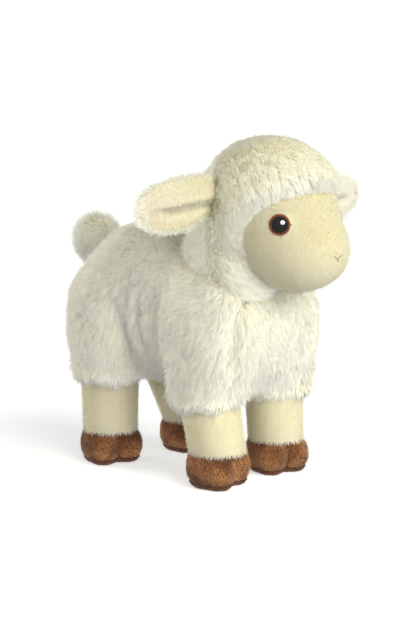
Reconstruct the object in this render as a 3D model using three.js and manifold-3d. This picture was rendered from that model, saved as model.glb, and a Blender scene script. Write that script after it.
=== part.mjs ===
// A standing plush lamb: fleece body and hood, short-pile face, ears and shins, velvet hooves.
// Stuffing fills it.
// Millimetres, +Z up. The lamb looks along -Y and its right side is -X. The hooves stand on Z = 0.
import * as THREE from "three";
import { mergeVertices } from "three/addons/utils/BufferGeometryUtils.js";
import Module from "manifold-3d";

const wasm = await Module();
wasm.setup();

// Cloths and threads
const seam = 0.3; // clearance between pieces that are sewn or stuffed against each other
const swing = 0.5; // clearance round a root that turns in its pocket
const fleece = 7.5; // long pile, from its backing to the mean tip
const shortPile = 2; // face, shins and ears
const velvet = 2; // hooves
const thread = 0.8; // embroidery and stitches

// Body: a barrel with four swellings over the legs
const body = { width: 92, length: 152, height: 96, low: 50, squareness: 2.8 };
const haunch = { width: 56, length: 61, height: 76, inset: 5 };
const shoulder = { width: 54, length: 57, height: 80, inset: 4 };
const bodyJoin = 5;
const chest = { width: 58, back: 52 };
const belly = { width: 44, rise: 14, back: 60 };

// The head, neck and tail keep their places over the body's top. Each rise is measured from there.
const bodyTop = body.low + body.height;

// Neck: the tilted plane in which head and body are sewn together, which meets the body's top
const neck = { back: 4, tilt: THREE.MathUtils.degToRad(20) };

// Head: the hood over the skull, and the face in its opening. The opening runs right across the hood.
const skull = { width: 84, length: 91, height: 86, ahead: 63.5, rise: 17 };
const nape = { width: 70, length: 68, height: 58, ahead: 44, rise: -8 };
const brow = { width: 68, length: 72, height: 72, ahead: 68, rise: 12 };
const muzzle = { width: 56, length: 55, height: 43, ahead: 86, rise: -7 };
const openingShare = 2.38; // the opening's width over the skull's
const opening = { width: openingShare * skull.width, length: 82, height: 62, ahead: 112, rise: -1 };
const hoodJoin = 4;
const faceJoin = 5;

// Eyes and nose mark, embroidered on the face
const eye = { ring: 11.8, pupil: 9.2, glint: 2.8, rise: 10, turn: THREE.MathUtils.degToRad(46) };
const glintOffset = { ahead: 1.6, up: 1.3 };
const nose = { rise: -9, arm: 4.6, stem: 2.6, line: 0.8, spread: 66 };

// Ears: a leaf rolled lengthwise, its slit to the front, its root sewn into the hood's seam
const ear = { length: 51, root: 13, height: 30, depth: 10.4, out: 43, ahead: 51, rise: 22, droop: 4 };
const earClothThick = 1.7;
const earBlunt = 5.5; // half height at which the leaf's ends are closed
const earOutline = 2.5; // power of the leaf's rounded outline
const earWrap = { root: 172, tip: 142 }; // degrees that the leaf wraps to each side, at its root and its tip

// Tail: a pompon with a ball root in the rump
const tail = { width: 30, length: 30, height: 33, back: 86.5, rise: -9.5 };
const tailRoot = { radius: 7.5, back: 70.5, rise: -15, bore: 3 };
const tailJoin = 2;

// Legs and hooves
const legs = { track: 52, base: 92, hem: 48.5, sleeveTop: 96, radius: 17.5, taper: 0.8, sleeveTaper: 6 };
const hoof = { width: 36, length: 31, height: 22, heelBack: 2.5, widest: 9, drop: 20, sole: 2 };
const toe = { width: 19, length: 20, drop: 14, apart: 17, ahead: 6, widest: 8 };
const cleft = { width: 1.2, low: 4, high: 17 };
const hoofJoin = 1;
const hoofSquareness = 3;
const stitch = 0.8; // height of the stitch line between sole and hoof

// Each leg's place: its side and end, how far its foot stands ahead of and outside its hip, its toes' turn
const legPlaces = [
  { name: "front_right", side: -1, end: -1, hipBack: 6, stride: 6, spread: 0, hemRise: 0, toeTurn: 12 },
  { name: "front_left", side: 1, end: -1, hipBack: 1.5, stride: 1.5, spread: 0, hemRise: 0, toeTurn: -12 },
  { name: "rear_right", side: -1, end: 1, hipBack: 0, stride: 0, spread: 0, hemRise: 3.5, toeTurn: -15 },
  { name: "rear_left", side: 1, end: 1, hipBack: -4, stride: 8, spread: 6, hemRise: 3.5, toeTurn: 0 },
];

const reach = 4 * body.length; // longer than the whole part, for blocks that cut it

// How many rings and sides each form is cut into: its surface, and the inside that its stuffing fills
const facets = {
  body: { rings: 14, sides: 24 },
  bodyInside: { rings: 10, sides: 16 },
  hood: { rings: 12, sides: 22 },
  hoodInside: { rings: 9, sides: 14 },
  opening: { rings: 10, sides: 18 },
  face: { rings: 16, sides: 26 },
  faceInside: { rings: 10, sides: 16 },
  tail: { rings: 10, sides: 16 },
  tailInside: { rings: 6, sides: 10 },
  hoof: { rings: 8, sides: 16 },
  hoofInside: { rings: 6, sides: 12 },
};
const roundSides = { leg: 14, disc: 18, glint: 12, ear: 24, tail: 20, tailRings: 12, mouth: 10 };
const earFacets = { lengths: 7, turns: 8 };

const cloths = {
  fleece: new THREE.MeshStandardMaterial({ color: 0xf3efe2, roughness: 0.95, metalness: 0 }),
  pile: new THREE.MeshStandardMaterial({ color: 0xf7ecc4, roughness: 0.9, metalness: 0 }),
  velvet: new THREE.MeshStandardMaterial({ color: 0x7a4b2a, roughness: 0.85, metalness: 0 }),
  stuffing: new THREE.MeshStandardMaterial({ color: 0xffffff, roughness: 1, metalness: 0 }),
  black: new THREE.MeshStandardMaterial({ color: 0x17120f, roughness: 0.5, metalness: 0 }),
  red: new THREE.MeshStandardMaterial({ color: 0x7d3423, roughness: 0.6, metalness: 0 }),
  white: new THREE.MeshStandardMaterial({ color: 0xf6f6f6, roughness: 0.5, metalness: 0 }),
  brown: new THREE.MeshStandardMaterial({ color: 0x4a2c19, roughness: 0.7, metalness: 0 }),
  grey: new THREE.MeshStandardMaterial({ color: 0x8d7a66, roughness: 0.7, metalness: 0 }),
};

const lamb = new THREE.Group();

// Turns a closed geometry into a solid that can be cut
function solid(geometry) {
  const bare = geometry.clone();
  bare.deleteAttribute("normal");
  bare.deleteAttribute("uv");
  const merged = mergeVertices(bare);
  const vertProperties = merged.attributes.position.array;
  const triVerts = new Uint32Array(merged.index.array);
  return new wasm.Manifold(new wasm.Mesh({ numProp: 3, vertProperties, triVerts }));
}

// Adds a solid to the lamb as a named piece
function piece(name, shape, cloth) {
  const { numProp, vertProperties, triVerts } = shape.getMesh();
  if (numProp !== 3) throw new Error(name + " carries more than positions");
  const geometry = new THREE.BufferGeometry();
  geometry.setAttribute("position", new THREE.BufferAttribute(vertProperties, 3));
  geometry.setIndex(new THREE.BufferAttribute(triVerts, 1));
  geometry.computeVertexNormals();
  const mesh = new THREE.Mesh(geometry, cloths[cloth]);
  mesh.name = name;
  lamb.add(mesh);
}

// A block between two corners
function block(low, high) {
  const size = high.map((value, k) => value - low[k]);
  const geometry = new THREE.BoxGeometry(...size);
  geometry.translate(...high.map((value, k) => (value + low[k]) / 2));
  return solid(geometry);
}

// The slice of space between two heights
function slice(low, high) {
  return block([-reach, -reach, low], [reach, reach, high]);
}

// A rounded lobe of a form. Its squareness swells it towards its ends along one axis.
function lobe(at, size, axis = 1, squareness = 2) {
  return { at, size, axis, squareness };
}

// How far a point lies outside one lobe that has grown all round, about right near its surface
function outside(one, point, grow) {
  const half = one.size.map((length) => length / 2 + grow);
  const away = point.map((value, k) => Math.abs(value - one.at[k]) / half[k]);
  const across = Math.hypot(...away.filter((value, k) => k !== one.axis));
  const s = one.squareness;
  const level = (across ** s + away[one.axis] ** s) ** (1 / s);
  return (level - 1) * Math.min(...half);
}

// How far a point lies outside the smooth join of several lobes
function outsideForm(form, point, grow) {
  const sum = form.lobes.reduce((total, one) => total + Math.exp(-outside(one, point, grow) / form.join), 0);
  return -form.join * Math.log(sum);
}

// Where a straight line from the form's middle leaves it
function surfacePoint(form, direction, grow) {
  const length = Math.hypot(...direction);
  const along = (distance) => form.middle.map((value, k) => value + (direction[k] / length) * distance);
  let inner = 0;
  let outer = reach;
  for (let step = 0; step < 40; step++) {
    const half = (inner + outer) / 2;
    if (outsideForm(form, along(half), grow) < 0) inner = half;
    else outer = half;
  }
  return along(inner);
}

// Joins rings of points, and a point at each end, into a closed geometry
function ringedGeometry(rings, first, last) {
  const sides = rings[0].length;
  const positions = [...rings.flat(), first, last].flat();
  const start = rings.length * sides;
  const faces = [];
  for (let j = 0; j < sides; j++) {
    const k = (j + 1) % sides;
    faces.push(start, k, j);
    const top = start - sides;
    faces.push(start + 1, top + j, top + k);
    for (let i = 0; i + 1 < rings.length; i++) {
      const low = i * sides;
      const high = low + sides;
      faces.push(low + j, low + k, high + k, low + j, high + k, high + j);
    }
  }
  const geometry = new THREE.BufferGeometry();
  geometry.setAttribute("position", new THREE.Float32BufferAttribute(positions, 3));
  geometry.setIndex(faces);
  return geometry;
}

// The form's surface as a solid, grown or shrunk all round. Its poles lie on the form's pole axis.
function swell(form, grow, { rings, sides }) {
  const axis = form.pole ?? 1;
  const aim = (polar, round) => {
    const turned = [Math.sin(polar) * Math.cos(round), Math.sin(polar) * Math.sin(round)];
    const along = Math.cos(polar);
    const unit = axis === 1 ? [turned[1], along, turned[0]] : [turned[0], turned[1], along];
    return surfacePoint(form, unit.map((value, k) => value * form.spread[k]), grow);
  };
  const ringed = [];
  for (let i = 1; i < rings; i++) {
    const polar = Math.PI - (Math.PI * i) / rings;
    ringed.push(Array.from({ length: sides }, (none, j) => aim(polar, (2 * Math.PI * j) / sides)));
  }
  return solid(ringedGeometry(ringed, aim(Math.PI, 0), aim(0, 0)));
}

// A cylinder about any line through a point
function rod(centre, direction, radius, length, sides) {
  const geometry = new THREE.CylinderGeometry(radius, radius, length, sides);
  const turn = new THREE.Quaternion();
  turn.setFromUnitVectors(new THREE.Vector3(0, 1, 0), new THREE.Vector3(...direction).normalize());
  geometry.applyQuaternion(turn);
  geometry.translate(...centre);
  return solid(geometry);
}

// A round limb section between two centres, each with its own height and radius
function column(low, high, lowRadius, highRadius) {
  const sides = roundSides.leg;
  const ring = (centre, radius) =>
    Array.from({ length: sides }, (none, j) => {
      const angle = (2 * Math.PI * j) / sides;
      return [centre[0] + radius * Math.cos(angle), centre[1] + radius * Math.sin(angle), centre[2]];
    });
  return solid(ringedGeometry([ring(low, lowRadius), ring(high, highRadius)], low, high));
}

const bodyMiddle = body.low + body.height / 2;

const bodyForm = {
  middle: [0, 0, bodyMiddle],
  spread: [body.width, body.length, body.height],
  join: bodyJoin,
  lobes: [
    lobe([0, 0, bodyMiddle], [body.width, body.length, body.height], 1, body.squareness),
    ...[-1, 1].flatMap((side) => [
      swellingOverLeg(haunch, side, 1),
      swellingOverLeg(shoulder, side, -1),
    ]),
  ],
};

function swellingOverLeg(size, side, end) {
  const out = legs.track / 2 - size.inset;
  const along = legs.base / 2;
  const up = legs.hem + size.height / 2 + seam;
  return lobe([side * out, end * along, up], [size.width, size.length, size.height]);
}

const headPlace = (size) => [0, -size.ahead, bodyTop + size.rise];
const headLobe = (size) => lobe(headPlace(size), [size.width, size.length, size.height]);

const hoodForm = {
  middle: headPlace(skull),
  spread: [skull.width, skull.length, skull.height],
  join: hoodJoin,
  lobes: [headLobe(skull), headLobe(nape)],
};

const faceForm = {
  middle: [0, -brow.ahead, bodyTop + (brow.rise + muzzle.rise) / 2],
  spread: [brow.width, brow.length, brow.height],
  join: faceJoin,
  lobes: [headLobe(brow), headLobe(muzzle)],
};

const openingForm = {
  middle: headPlace(opening),
  spread: [opening.width, opening.length, opening.height],
  join: hoodJoin,
  lobes: [headLobe(opening)],
};

const tailMiddle = [0, tail.back, bodyTop + tail.rise];
const tailRootMiddle = [0, tailRoot.back, bodyTop + tailRoot.rise];

const tailForm = {
  middle: tailMiddle,
  spread: [tail.width, tail.length, tail.height],
  join: tailJoin,
  lobes: [
    lobe(tailMiddle, [tail.width, tail.length, tail.height]),
    lobe(tailRootMiddle, Array(3).fill(2 * tailRoot.radius)),
  ],
};

// A hoof about its own axis, toes to -Y: a heel, and two toes with a cleft between them
const toeSize = [toe.width, toe.length, 2 * toe.drop];
const hoofForm = {
  middle: [0, 0, hoof.widest],
  spread: [hoof.width, hoof.width, hoof.height],
  join: hoofJoin,
  pole: 2,
  lobes: [
    lobe([0, hoof.heelBack, hoof.widest], [hoof.width, hoof.length, 2 * hoof.drop], 2, hoofSquareness),
    ...[-1, 1].map((side) =>
      lobe([(side * toe.apart) / 2, -toe.ahead, toe.widest], toeSize, 2, hoofSquareness),
    ),
  ],
};

// Everything above the neck seam, raised by a clearance
function aboveNeck(clearance) {
  const geometry = new THREE.BoxGeometry(reach, reach, reach);
  geometry.translate(0, 0, reach / 2 + clearance);
  geometry.rotateX(neck.tilt);
  geometry.translate(0, -neck.back, bodyTop);
  return solid(geometry);
}

const bodyOutside = swell(bodyForm, 0, facets.body);
const bodyClear = swell(bodyForm, seam, facets.body);
const bodyInside = swell(bodyForm, -fleece, facets.bodyInside);

function footOf(place) {
  const hip = hipOf(place);
  return [hip[0] + place.side * place.spread, hip[1] - place.stride];
}

function hipOf(place) {
  return [(place.side * legs.track) / 2, (place.end * legs.base) / 2 + place.hipBack];
}

// Sets a shape made about the hoof's own axis at one leg's foot, with its toes turned
function atFoot(place, shape) {
  const [x, y] = footOf(place);
  return shape.rotate([0, 0, place.toeTurn]).translate([x, y, 0]);
}

// A hoof form of one leg, grown or shrunk
function hoofAt(place, grow, cut) {
  return atFoot(place, swell(hoofForm, grow, cut));
}

// The leg's axis between two heights: upright in the hoof, then leaning from the foot to the hip
function legColumn(place, low, high, lowRadius, highRadius) {
  const foot = footOf(place);
  const hip = hipOf(place);
  const at = (height) => {
    const share = THREE.MathUtils.clamp((height - hoof.height) / (legs.hem - hoof.height), 0, 1);
    return [...foot.map((value, k) => value + (hip[k] - value) * share), height];
  };
  return column(at(low), at(high), lowRadius, highRadius);
}

const stuffingRadius = legs.radius - shortPile - seam;
const hipTop = legs.hem + 3 * fleece;
const upperLow = hoof.sole + seam + stitch + seam;

function legStuffingOf(place) {
  const ankle = hoof.height;
  const inHoof = hoofAt(place, -velvet - seam, facets.hoofInside).intersect(slice(hoof.sole + seam, ankle));
  const core = hoof.width / 6;
  const joint = legColumn(place, ankle - velvet, ankle + velvet, core, core);
  const narrow = stuffingRadius - legs.taper;
  const leg = legColumn(place, ankle + seam, legs.hem, narrow, stuffingRadius);
  const hip = legColumn(place, legs.hem, hipTop, stuffingRadius, stuffingRadius);
  return inHoof.add(joint).add(leg).add(hip).subtract(bodyInside);
}

// The body's fleece is a shell in four panels, with an opening over each leg's stuffing
function makeBody() {
  let shell = bodyOutside.subtract(bodyInside).subtract(aboveNeck(-seam / 2));
  for (const place of legPlaces) {
    const hole = stuffingRadius + seam;
    shell = shell.subtract(legColumn(place, legs.hem - fleece, legs.hem, hole, hole));
    shell = shell.subtract(legColumn(place, legs.hem, hipTop, hole, hole));
  }
  shell = shell.subtract(tailPocket());
  const half = chest.width / 2;
  const chestBlock = (grow) =>
    block([-half - grow, -reach, -reach], [half + grow, -chest.back + grow, reach]);
  const bellyHalf = belly.width / 2;
  const bellyTop = body.low + belly.rise;
  const bellyFront = seam - chest.back;
  const bellyBlock = (grow) =>
    block([-bellyHalf - grow, bellyFront - grow, 0], [bellyHalf + grow, belly.back + grow, bellyTop + grow]);
  piece("chest_panel", shell.intersect(chestBlock(0)), "fleece");
  piece("belly_panel", shell.intersect(bellyBlock(0)), "fleece");
  const sides = shell.subtract(chestBlock(seam)).subtract(bellyBlock(seam));
  const rightHalf = block([-reach, -reach, -reach], [-seam / 2, reach, reach]);
  const leftHalf = block([seam / 2, -reach, -reach], [reach, reach, reach]);
  piece("side_panel_right", sides.intersect(rightHalf), "fleece");
  piece("side_panel_left", sides.intersect(leftHalf), "fleece");
  const stuffing = swell(bodyForm, -fleece - seam, facets.bodyInside).subtract(aboveNeck(-seam / 2));
  piece("body_stuffing", stuffing, "stuffing");
}

// The thread that draws the hoof's front into two toes, about the hoof's own axis
function cleftThread() {
  const half = cleft.width / 2;
  const front = block([-half, -hoof.length, cleft.low], [half, 0, cleft.high]);
  const over = swell(hoofForm, seam + thread, facets.hoof);
  return over.subtract(swell(hoofForm, seam, facets.hoof)).intersect(front);
}

function makeLegs() {
  for (const place of legPlaces) {
    const outer = hoofAt(place, 0, facets.hoof);
    const inner = hoofAt(place, -velvet, facets.hoofInside);
    const upper = slice(upperLow, hoof.height);
    piece("hoof_" + place.name, outer.intersect(upper).subtract(inner), "velvet");
    piece("sole_" + place.name, outer.intersect(slice(0, hoof.sole)), "velvet");
    const line = slice(hoof.sole + seam, upperLow - seam);
    const skin = outer.subtract(hoofAt(place, -thread, facets.hoof));
    piece("sole_stitch_" + place.name, skin.intersect(line), "brown");
    piece("cleft_thread_" + place.name, atFoot(place, cleftThread()), "brown");

    const low = hoof.height + seam;
    const radius = legs.radius;
    const inside = radius - shortPile;
    const shin = legColumn(place, low, legs.hem, radius - legs.taper, radius);
    const shinTop = legColumn(place, legs.hem, hipTop, radius, radius);
    const bore = legColumn(place, low - seam, legs.hem, inside - legs.taper, inside);
    const boreTop = legColumn(place, legs.hem, hipTop + seam, inside, inside);
    const tube = shin.add(shinTop).subtract(bore).subtract(boreTop).subtract(bodyClear);
    piece("shin_" + place.name, tube, "pile");

    const cuff = radius + seam + fleece;
    const hem = legs.hem + place.hemRise;
    const sleeve = legColumn(place, hem, legs.sleeveTop, cuff, cuff - legs.sleeveTaper);
    const sleeveBore = legColumn(place, hem - seam, legs.sleeveTop + seam, radius + seam, radius + seam);
    piece("sleeve_" + place.name, sleeve.subtract(sleeveBore).subtract(bodyClear), "fleece");

    piece("stuffing_" + place.name, legStuffingOf(place), "stuffing");
  }
}

// The hood: a fleece shell in two pieces, sewn across the head through both ears' roots
function makeHood() {
  const shell = swell(hoodForm, 0, facets.hood).subtract(swell(hoodForm, -fleece, facets.hoodInside));
  let hood = shell.subtract(swell(openingForm, 0, facets.opening)).intersect(aboveNeck(seam / 2));
  for (const side of [-1, 1]) hood = hood.subtract(earPocket(side));
  const front = block([-reach, -reach, -reach], [reach, -ear.ahead - seam / 2, reach]);
  const back = block([-reach, -ear.ahead + seam / 2, -reach], [reach, reach, reach]);
  piece("hood_front", hood.intersect(front), "fleece");
  piece("hood_back", hood.intersect(back), "fleece");
}

function makeFace() {
  const inside = swell(faceForm, -shortPile, facets.faceInside);
  const within = swell(openingForm, -seam, facets.opening);
  const face = swell(faceForm, 0, facets.face).subtract(inside).intersect(within);
  piece("face", face.intersect(aboveNeck(seam / 2)), "pile");
}

function makeHeadStuffing() {
  const inHood = swell(hoodForm, -fleece - seam, facets.hoodInside);
  const inFace = swell(faceForm, -shortPile - seam, facets.faceInside);
  const behind = inHood.subtract(swell(openingForm, 0, facets.opening));
  const ahead = inFace.intersect(swell(openingForm, -seam, facets.opening));
  const core = inHood.intersect(inFace);
  let head = behind.add(ahead).add(core).intersect(aboveNeck(seam / 2));
  for (const side of [-1, 1]) head = head.subtract(earPocket(side));
  piece("head_stuffing", head, "stuffing");
}

// The thin layer of thread that lies on the face
function embroideryLayer() {
  const over = swell(faceForm, seam + thread, facets.face);
  return over.subtract(swell(faceForm, seam, facets.face));
}

function makeEyes() {
  const layer = embroideryLayer();
  for (const side of [-1, 1]) {
    const name = side < 0 ? "right" : "left";
    const level = bodyTop + eye.rise - faceForm.middle[2];
    const depth = brow.width / 2;
    const aim = [side * Math.sin(eye.turn) * depth, -Math.cos(eye.turn) * depth, level];
    const centre = surfacePoint(faceForm, aim, 0);
    const facing = [side * Math.sin(eye.turn), -Math.cos(eye.turn), 0];
    const disc = (at, width, sides) => rod(at, facing, width / 2, eye.ring, sides);
    const glintAt = [
      centre[0] - side * glintOffset.ahead * Math.cos(eye.turn),
      centre[1] - glintOffset.ahead * Math.sin(eye.turn),
      centre[2] + glintOffset.up,
    ];
    const glintHole = disc(glintAt, eye.glint + 2 * seam, roundSides.glint);
    const pupilHole = disc(centre, eye.pupil + 2 * seam, roundSides.disc);
    const ring = disc(centre, eye.ring, roundSides.disc).subtract(pupilHole);
    const pupil = disc(centre, eye.pupil, roundSides.disc).subtract(glintHole);
    piece("eye_ring_" + name, layer.intersect(ring), "red");
    piece("eye_pupil_" + name, layer.intersect(pupil), "black");
    piece("eye_glint_" + name, layer.intersect(disc(glintAt, eye.glint, roundSides.glint)), "white");
  }
}

// A short stem with two slanting arms, at the front of the muzzle
function makeNose() {
  const half = nose.line / 2;
  const up = bodyTop + nose.rise;
  let mark = block([-half, -reach, up - nose.stem], [half, -muzzle.ahead, up + half]);
  for (const side of [-1, 1]) {
    const arm = block([-half, -reach, 0], [half, -muzzle.ahead, nose.arm]);
    mark = mark.add(arm.rotate([0, side * nose.spread, 0]).translate([0, 0, up]));
  }
  piece("nose_stitch", mark.intersect(embroideryLayer()), "grey");
}

// The middle of an ear's root
function earRoot(side) {
  return [side * ear.out, -ear.ahead, bodyTop + ear.rise];
}

// Half the leaf's height at a distance out from the root's centre
function earHalfHeight(out) {
  const half = (ear.length + ear.root) / 2;
  const away = Math.abs(out - (ear.length - ear.root) / 2) / half;
  return (ear.height / 2) * Math.max(0, 1 - away ** earOutline) ** (1 / earOutline);
}

// The distance out at which the leaf is cut blunt, searched from one end of it
function earEnd(end) {
  const middle = (ear.length - ear.root) / 2;
  let near = middle;
  let far = end;
  for (let step = 0; step < 30; step++) {
    const half = (near + far) / 2;
    if (earHalfHeight(half) > earBlunt) near = half;
    else far = half;
  }
  return near;
}

// One cloth of an ear: the rolled leaf between two depths below its outer surface
function earCloth(side, outerDepth, innerDepth) {
  const steps = earFacets.lengths;
  const turns = earFacets.turns;
  const from = earEnd(-ear.root);
  const to = earEnd(ear.length);
  const rings = [];
  for (let i = 0; i <= steps; i++) {
    const share = i / steps;
    const out = from + (to - from) * share;
    const wrap = earWrap.root + (earWrap.tip - earWrap.root) * share ** 2;
    const open = THREE.MathUtils.degToRad(wrap);
    const at = (angle, below) => [
      side * (ear.out + out),
      -ear.ahead - (ear.depth / 2 - below) * -Math.cos(angle),
      bodyTop + ear.rise + (earHalfHeight(out) - below) * Math.sin(angle),
    ];
    const angles = Array.from({ length: turns + 1 }, (none, j) => open * ((2 * j) / turns - 1));
    const outer = angles.map((angle) => at(angle, outerDepth));
    const inner = angles.map((angle) => at(angle, innerDepth)).reverse();
    rings.push([...outer, ...inner]);
  }
  const leaf = solid(sleeveGeometry(side > 0 ? rings.reverse() : rings));
  const root = earRoot(side);
  const back = root.map((value) => -value);
  return leaf.translate(back).rotate([0, side * ear.droop, 0]).translate(root);
}

// Rings of equal count joined into a closed sleeve, whose ends are closed across the ring's two halves
function sleeveGeometry(rings) {
  const count = rings[0].length;
  const positions = rings.flat(2);
  const faces = [];
  for (let i = 0; i + 1 < rings.length; i++) {
    for (let j = 0; j < count; j++) {
      const k = (j + 1) % count;
      const low = i * count;
      const high = low + count;
      // The second half runs back, so its quads are split the other way and both cloths' facets stay parallel
      if (j < count / 2) faces.push(low + j, high + k, low + k, low + j, high + j, high + k);
      else faces.push(low + j, high + j, low + k, low + k, high + j, high + k);
    }
  }
  const last = (rings.length - 1) * count;
  for (let j = 0; j + 1 < count / 2; j++) {
    const back = count - 1 - j;
    faces.push(j, j + 1, back - 1, j, back - 1, back);
    faces.push(last + j, last + back - 1, last + j + 1, last + j, last + back, last + back - 1);
  }
  const geometry = new THREE.BufferGeometry();
  geometry.setAttribute("position", new THREE.Float32BufferAttribute(positions, 3));
  geometry.setIndex(faces);
  return geometry;
}

// The room in the hood in which an ear's root turns
function earPocket(side) {
  return rod(earRoot(side), [0, 1, 0], ear.root + swing, ear.depth + 2 * swing, roundSides.ear);
}

function makeEars() {
  for (const side of [-1, 1]) {
    const name = side < 0 ? "right" : "left";
    piece("ear_back_" + name, earCloth(side, 0, earClothThick), "pile");
    piece("ear_lining_" + name, earCloth(side, earClothThick + seam, 2 * earClothThick + seam), "pile");
  }
}

// The ball-shaped room in the rump in which the tail's root turns
function tailPocket() {
  const geometry = new THREE.SphereGeometry(tailRoot.radius + swing, roundSides.tail, roundSides.tailRings);
  geometry.translate(...tailRootMiddle);
  return solid(geometry);
}

function makeTail() {
  const core = { ...tailForm, lobes: [tailForm.lobes[0]] };
  const outward = tailMiddle.map((value, k) => value - tailRootMiddle[k]);
  const mouth = rod(tailRootMiddle, outward, tailRoot.bore, tail.length, roundSides.mouth);
  const hollow = swell(core, -fleece, facets.tailInside);
  piece("tail_fleece", swell(tailForm, 0, facets.tail).subtract(hollow).subtract(mouth), "fleece");
  piece("tail_stuffing", swell(core, -fleece - seam, facets.tailInside), "stuffing");
}

makeBody();
makeLegs();
makeHood();
makeFace();
makeHeadStuffing();
makeEyes();
makeNose();
makeEars();
makeTail();

// The origin lies under the middle of the whole
const whole = new THREE.Box3().setFromObject(lamb, true);
lamb.position.y = -(whole.min.y + whole.max.y) / 2;

export default lamb;
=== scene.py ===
# %% [markdown]
# # A plush lamb in long fleece
# The real toy is sewn from four cloths: long ivory fleece on the body and hood, short cream pile on the
# face, ears and shins, brown velvet on the hooves, and thread for the eyes and the nose mark.
# Fur could be made with Blender's hair curves, but curves don't travel to other programs. So each cloth
# here is a fine mesh skin, and Geometry Nodes plant thousands of thin mesh strands on it.
# Everything is in metres. The lamb looks along -Y, its right side is -X, and Z = 0 is the floor.

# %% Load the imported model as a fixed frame
import math

import bmesh
import bpy
import numpy as np
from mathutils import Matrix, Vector


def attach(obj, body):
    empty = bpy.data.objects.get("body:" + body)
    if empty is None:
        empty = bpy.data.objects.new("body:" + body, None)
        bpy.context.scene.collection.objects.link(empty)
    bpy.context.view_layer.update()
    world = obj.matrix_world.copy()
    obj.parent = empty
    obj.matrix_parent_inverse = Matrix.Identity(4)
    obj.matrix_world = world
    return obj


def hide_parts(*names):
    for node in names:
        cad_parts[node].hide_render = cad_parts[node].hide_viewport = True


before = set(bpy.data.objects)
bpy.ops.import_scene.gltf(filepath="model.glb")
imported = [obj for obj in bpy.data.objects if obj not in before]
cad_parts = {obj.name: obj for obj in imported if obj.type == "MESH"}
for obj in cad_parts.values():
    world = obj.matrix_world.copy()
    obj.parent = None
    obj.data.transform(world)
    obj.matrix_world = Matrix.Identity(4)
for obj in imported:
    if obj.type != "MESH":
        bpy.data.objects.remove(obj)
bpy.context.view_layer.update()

MM = 0.001
AHEAD_OF_CENTRE = 6.636 * MM  # the frame's centre lies this far ahead of the middle between the legs

# %% [markdown]
# ## Camera
# A long lens from about a metre away keeps the lamb's proportions calm, as a product photographer would.
# The distance and the lens were worked out together from where the hooves and the head fall in the picture.
# A shorter lens placed nearer would swell the head, so the pair is kept.

# %% Camera
def put_in_scene(name, data):
    """Makes an object of a mesh, a lamp or a camera, and links it to the scene."""
    made = bpy.data.objects.new(name, data)
    bpy.context.collection.objects.link(made)
    return made


CAMERA_DISTANCE = 0.95
look_at = Vector((0, -7.06, 97.3)) * MM
toward = Vector((0.7179, 0.6819, -0.1392)).normalized()
camera = put_in_scene("camera", bpy.data.cameras.new("camera"))
camera.location = look_at - toward * CAMERA_DISTANCE
camera.rotation_euler = toward.to_track_quat("-Z", "Y").to_euler()
camera.data.lens = 90.4
camera.data.sensor_width = 36
bpy.context.scene.camera = camera
print("camera at", [round(value, 3) for value in camera.location])

# %% [markdown]
# ## Floor and light
# The studio is a white room: one large warm light low ahead of the lamb, a weaker one behind its rump, and
# a dim cool sky that fills the shade. Wide sun lamps light the floor evenly out to the horizon, which
# softboxes near the lamb would not. The sky is brighter where the camera looks straight at it, and the
# floor sends no light back up, so that the background stays white without washing out the shaded flank.
# The Standard view keeps white as white, where a filmic view would turn it grey. White fur is bright
# because light bounces about in it many times, so more bounces than usual are let through.

# %% Floor, sky and lamps
bpy.context.scene.view_settings.view_transform = "Standard"
bpy.context.scene.cycles.diffuse_bounces = 12
bpy.context.scene.cycles.max_bounces = 20


def new_paint(name, **sockets):
    """A material, its node tree and its shader, with the shader's even values set."""
    paint = bpy.data.materials.new(name)
    paint.use_nodes = True
    shader = paint.node_tree.nodes["Principled BSDF"]
    for socket, value in sockets.items():
        shader.inputs[socket.replace("_", " ")].default_value = value
    return paint, paint.node_tree, shader


FLOOR_HALF = 30
corners = [(-FLOOR_HALF, -FLOOR_HALF, 0), (FLOOR_HALF, -FLOOR_HALF, 0), (FLOOR_HALF, FLOOR_HALF, 0),
           (-FLOOR_HALF, FLOOR_HALF, 0)]
floor = put_in_scene("floor", bpy.data.meshes.new("floor"))
floor.data.from_pydata(corners, [], [(0, 1, 2, 3)])
floor.data.materials.append(new_paint("pale_floor", Base_Color=(0.75, 0.75, 0.75, 1), Roughness=0.9,
                                      Specular_IOR_Level=0, Emission_Color=(1, 1, 1, 1),
                                      Emission_Strength=0.5)[0])
floor.visible_diffuse = False

sky = bpy.data.worlds.new("studio")
sky.use_nodes = True
bpy.context.scene.world = sky
sky_nodes, sky_links = sky.node_tree.nodes, sky.node_tree.links
fill = sky_nodes["Background"]
fill.inputs["Color"].default_value = (0.86, 0.872, 1, 1)
backdrop = sky_nodes.new("ShaderNodeBackground")
backdrop.inputs["Color"].default_value = (1, 1, 1, 1)
backdrop.inputs["Strength"].default_value = 1.1
seen = sky_nodes.new("ShaderNodeLightPath")
either = sky_nodes.new("ShaderNodeMixShader")
sky_links.new(seen.outputs["Is Camera Ray"], either.inputs[0])
sky_links.new(fill.outputs[0], either.inputs[1])
sky_links.new(backdrop.outputs[0], either.inputs[2])
sky_links.new(either.outputs[0], sky_nodes["World Output"].inputs[0])
way = sky_nodes.new("ShaderNodeTexCoord")
ahead_of_lamb = sky_nodes.new("ShaderNodeVectorMath")
ahead_of_lamb.operation = "DOT_PRODUCT"
ahead_of_lamb.inputs[1].default_value = (-0.25, -0.93, -0.20)
strength = sky_nodes.new("ShaderNodeMapRange")  # brighter ahead, where a white screen would stand
strength.inputs["To Min"].default_value = 0.14
strength.inputs["To Max"].default_value = 1.82
sky_links.new(way.outputs["Generated"], ahead_of_lamb.inputs[0])
sky_links.new(ahead_of_lamb.outputs["Value"], strength.inputs["Value"])
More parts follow.
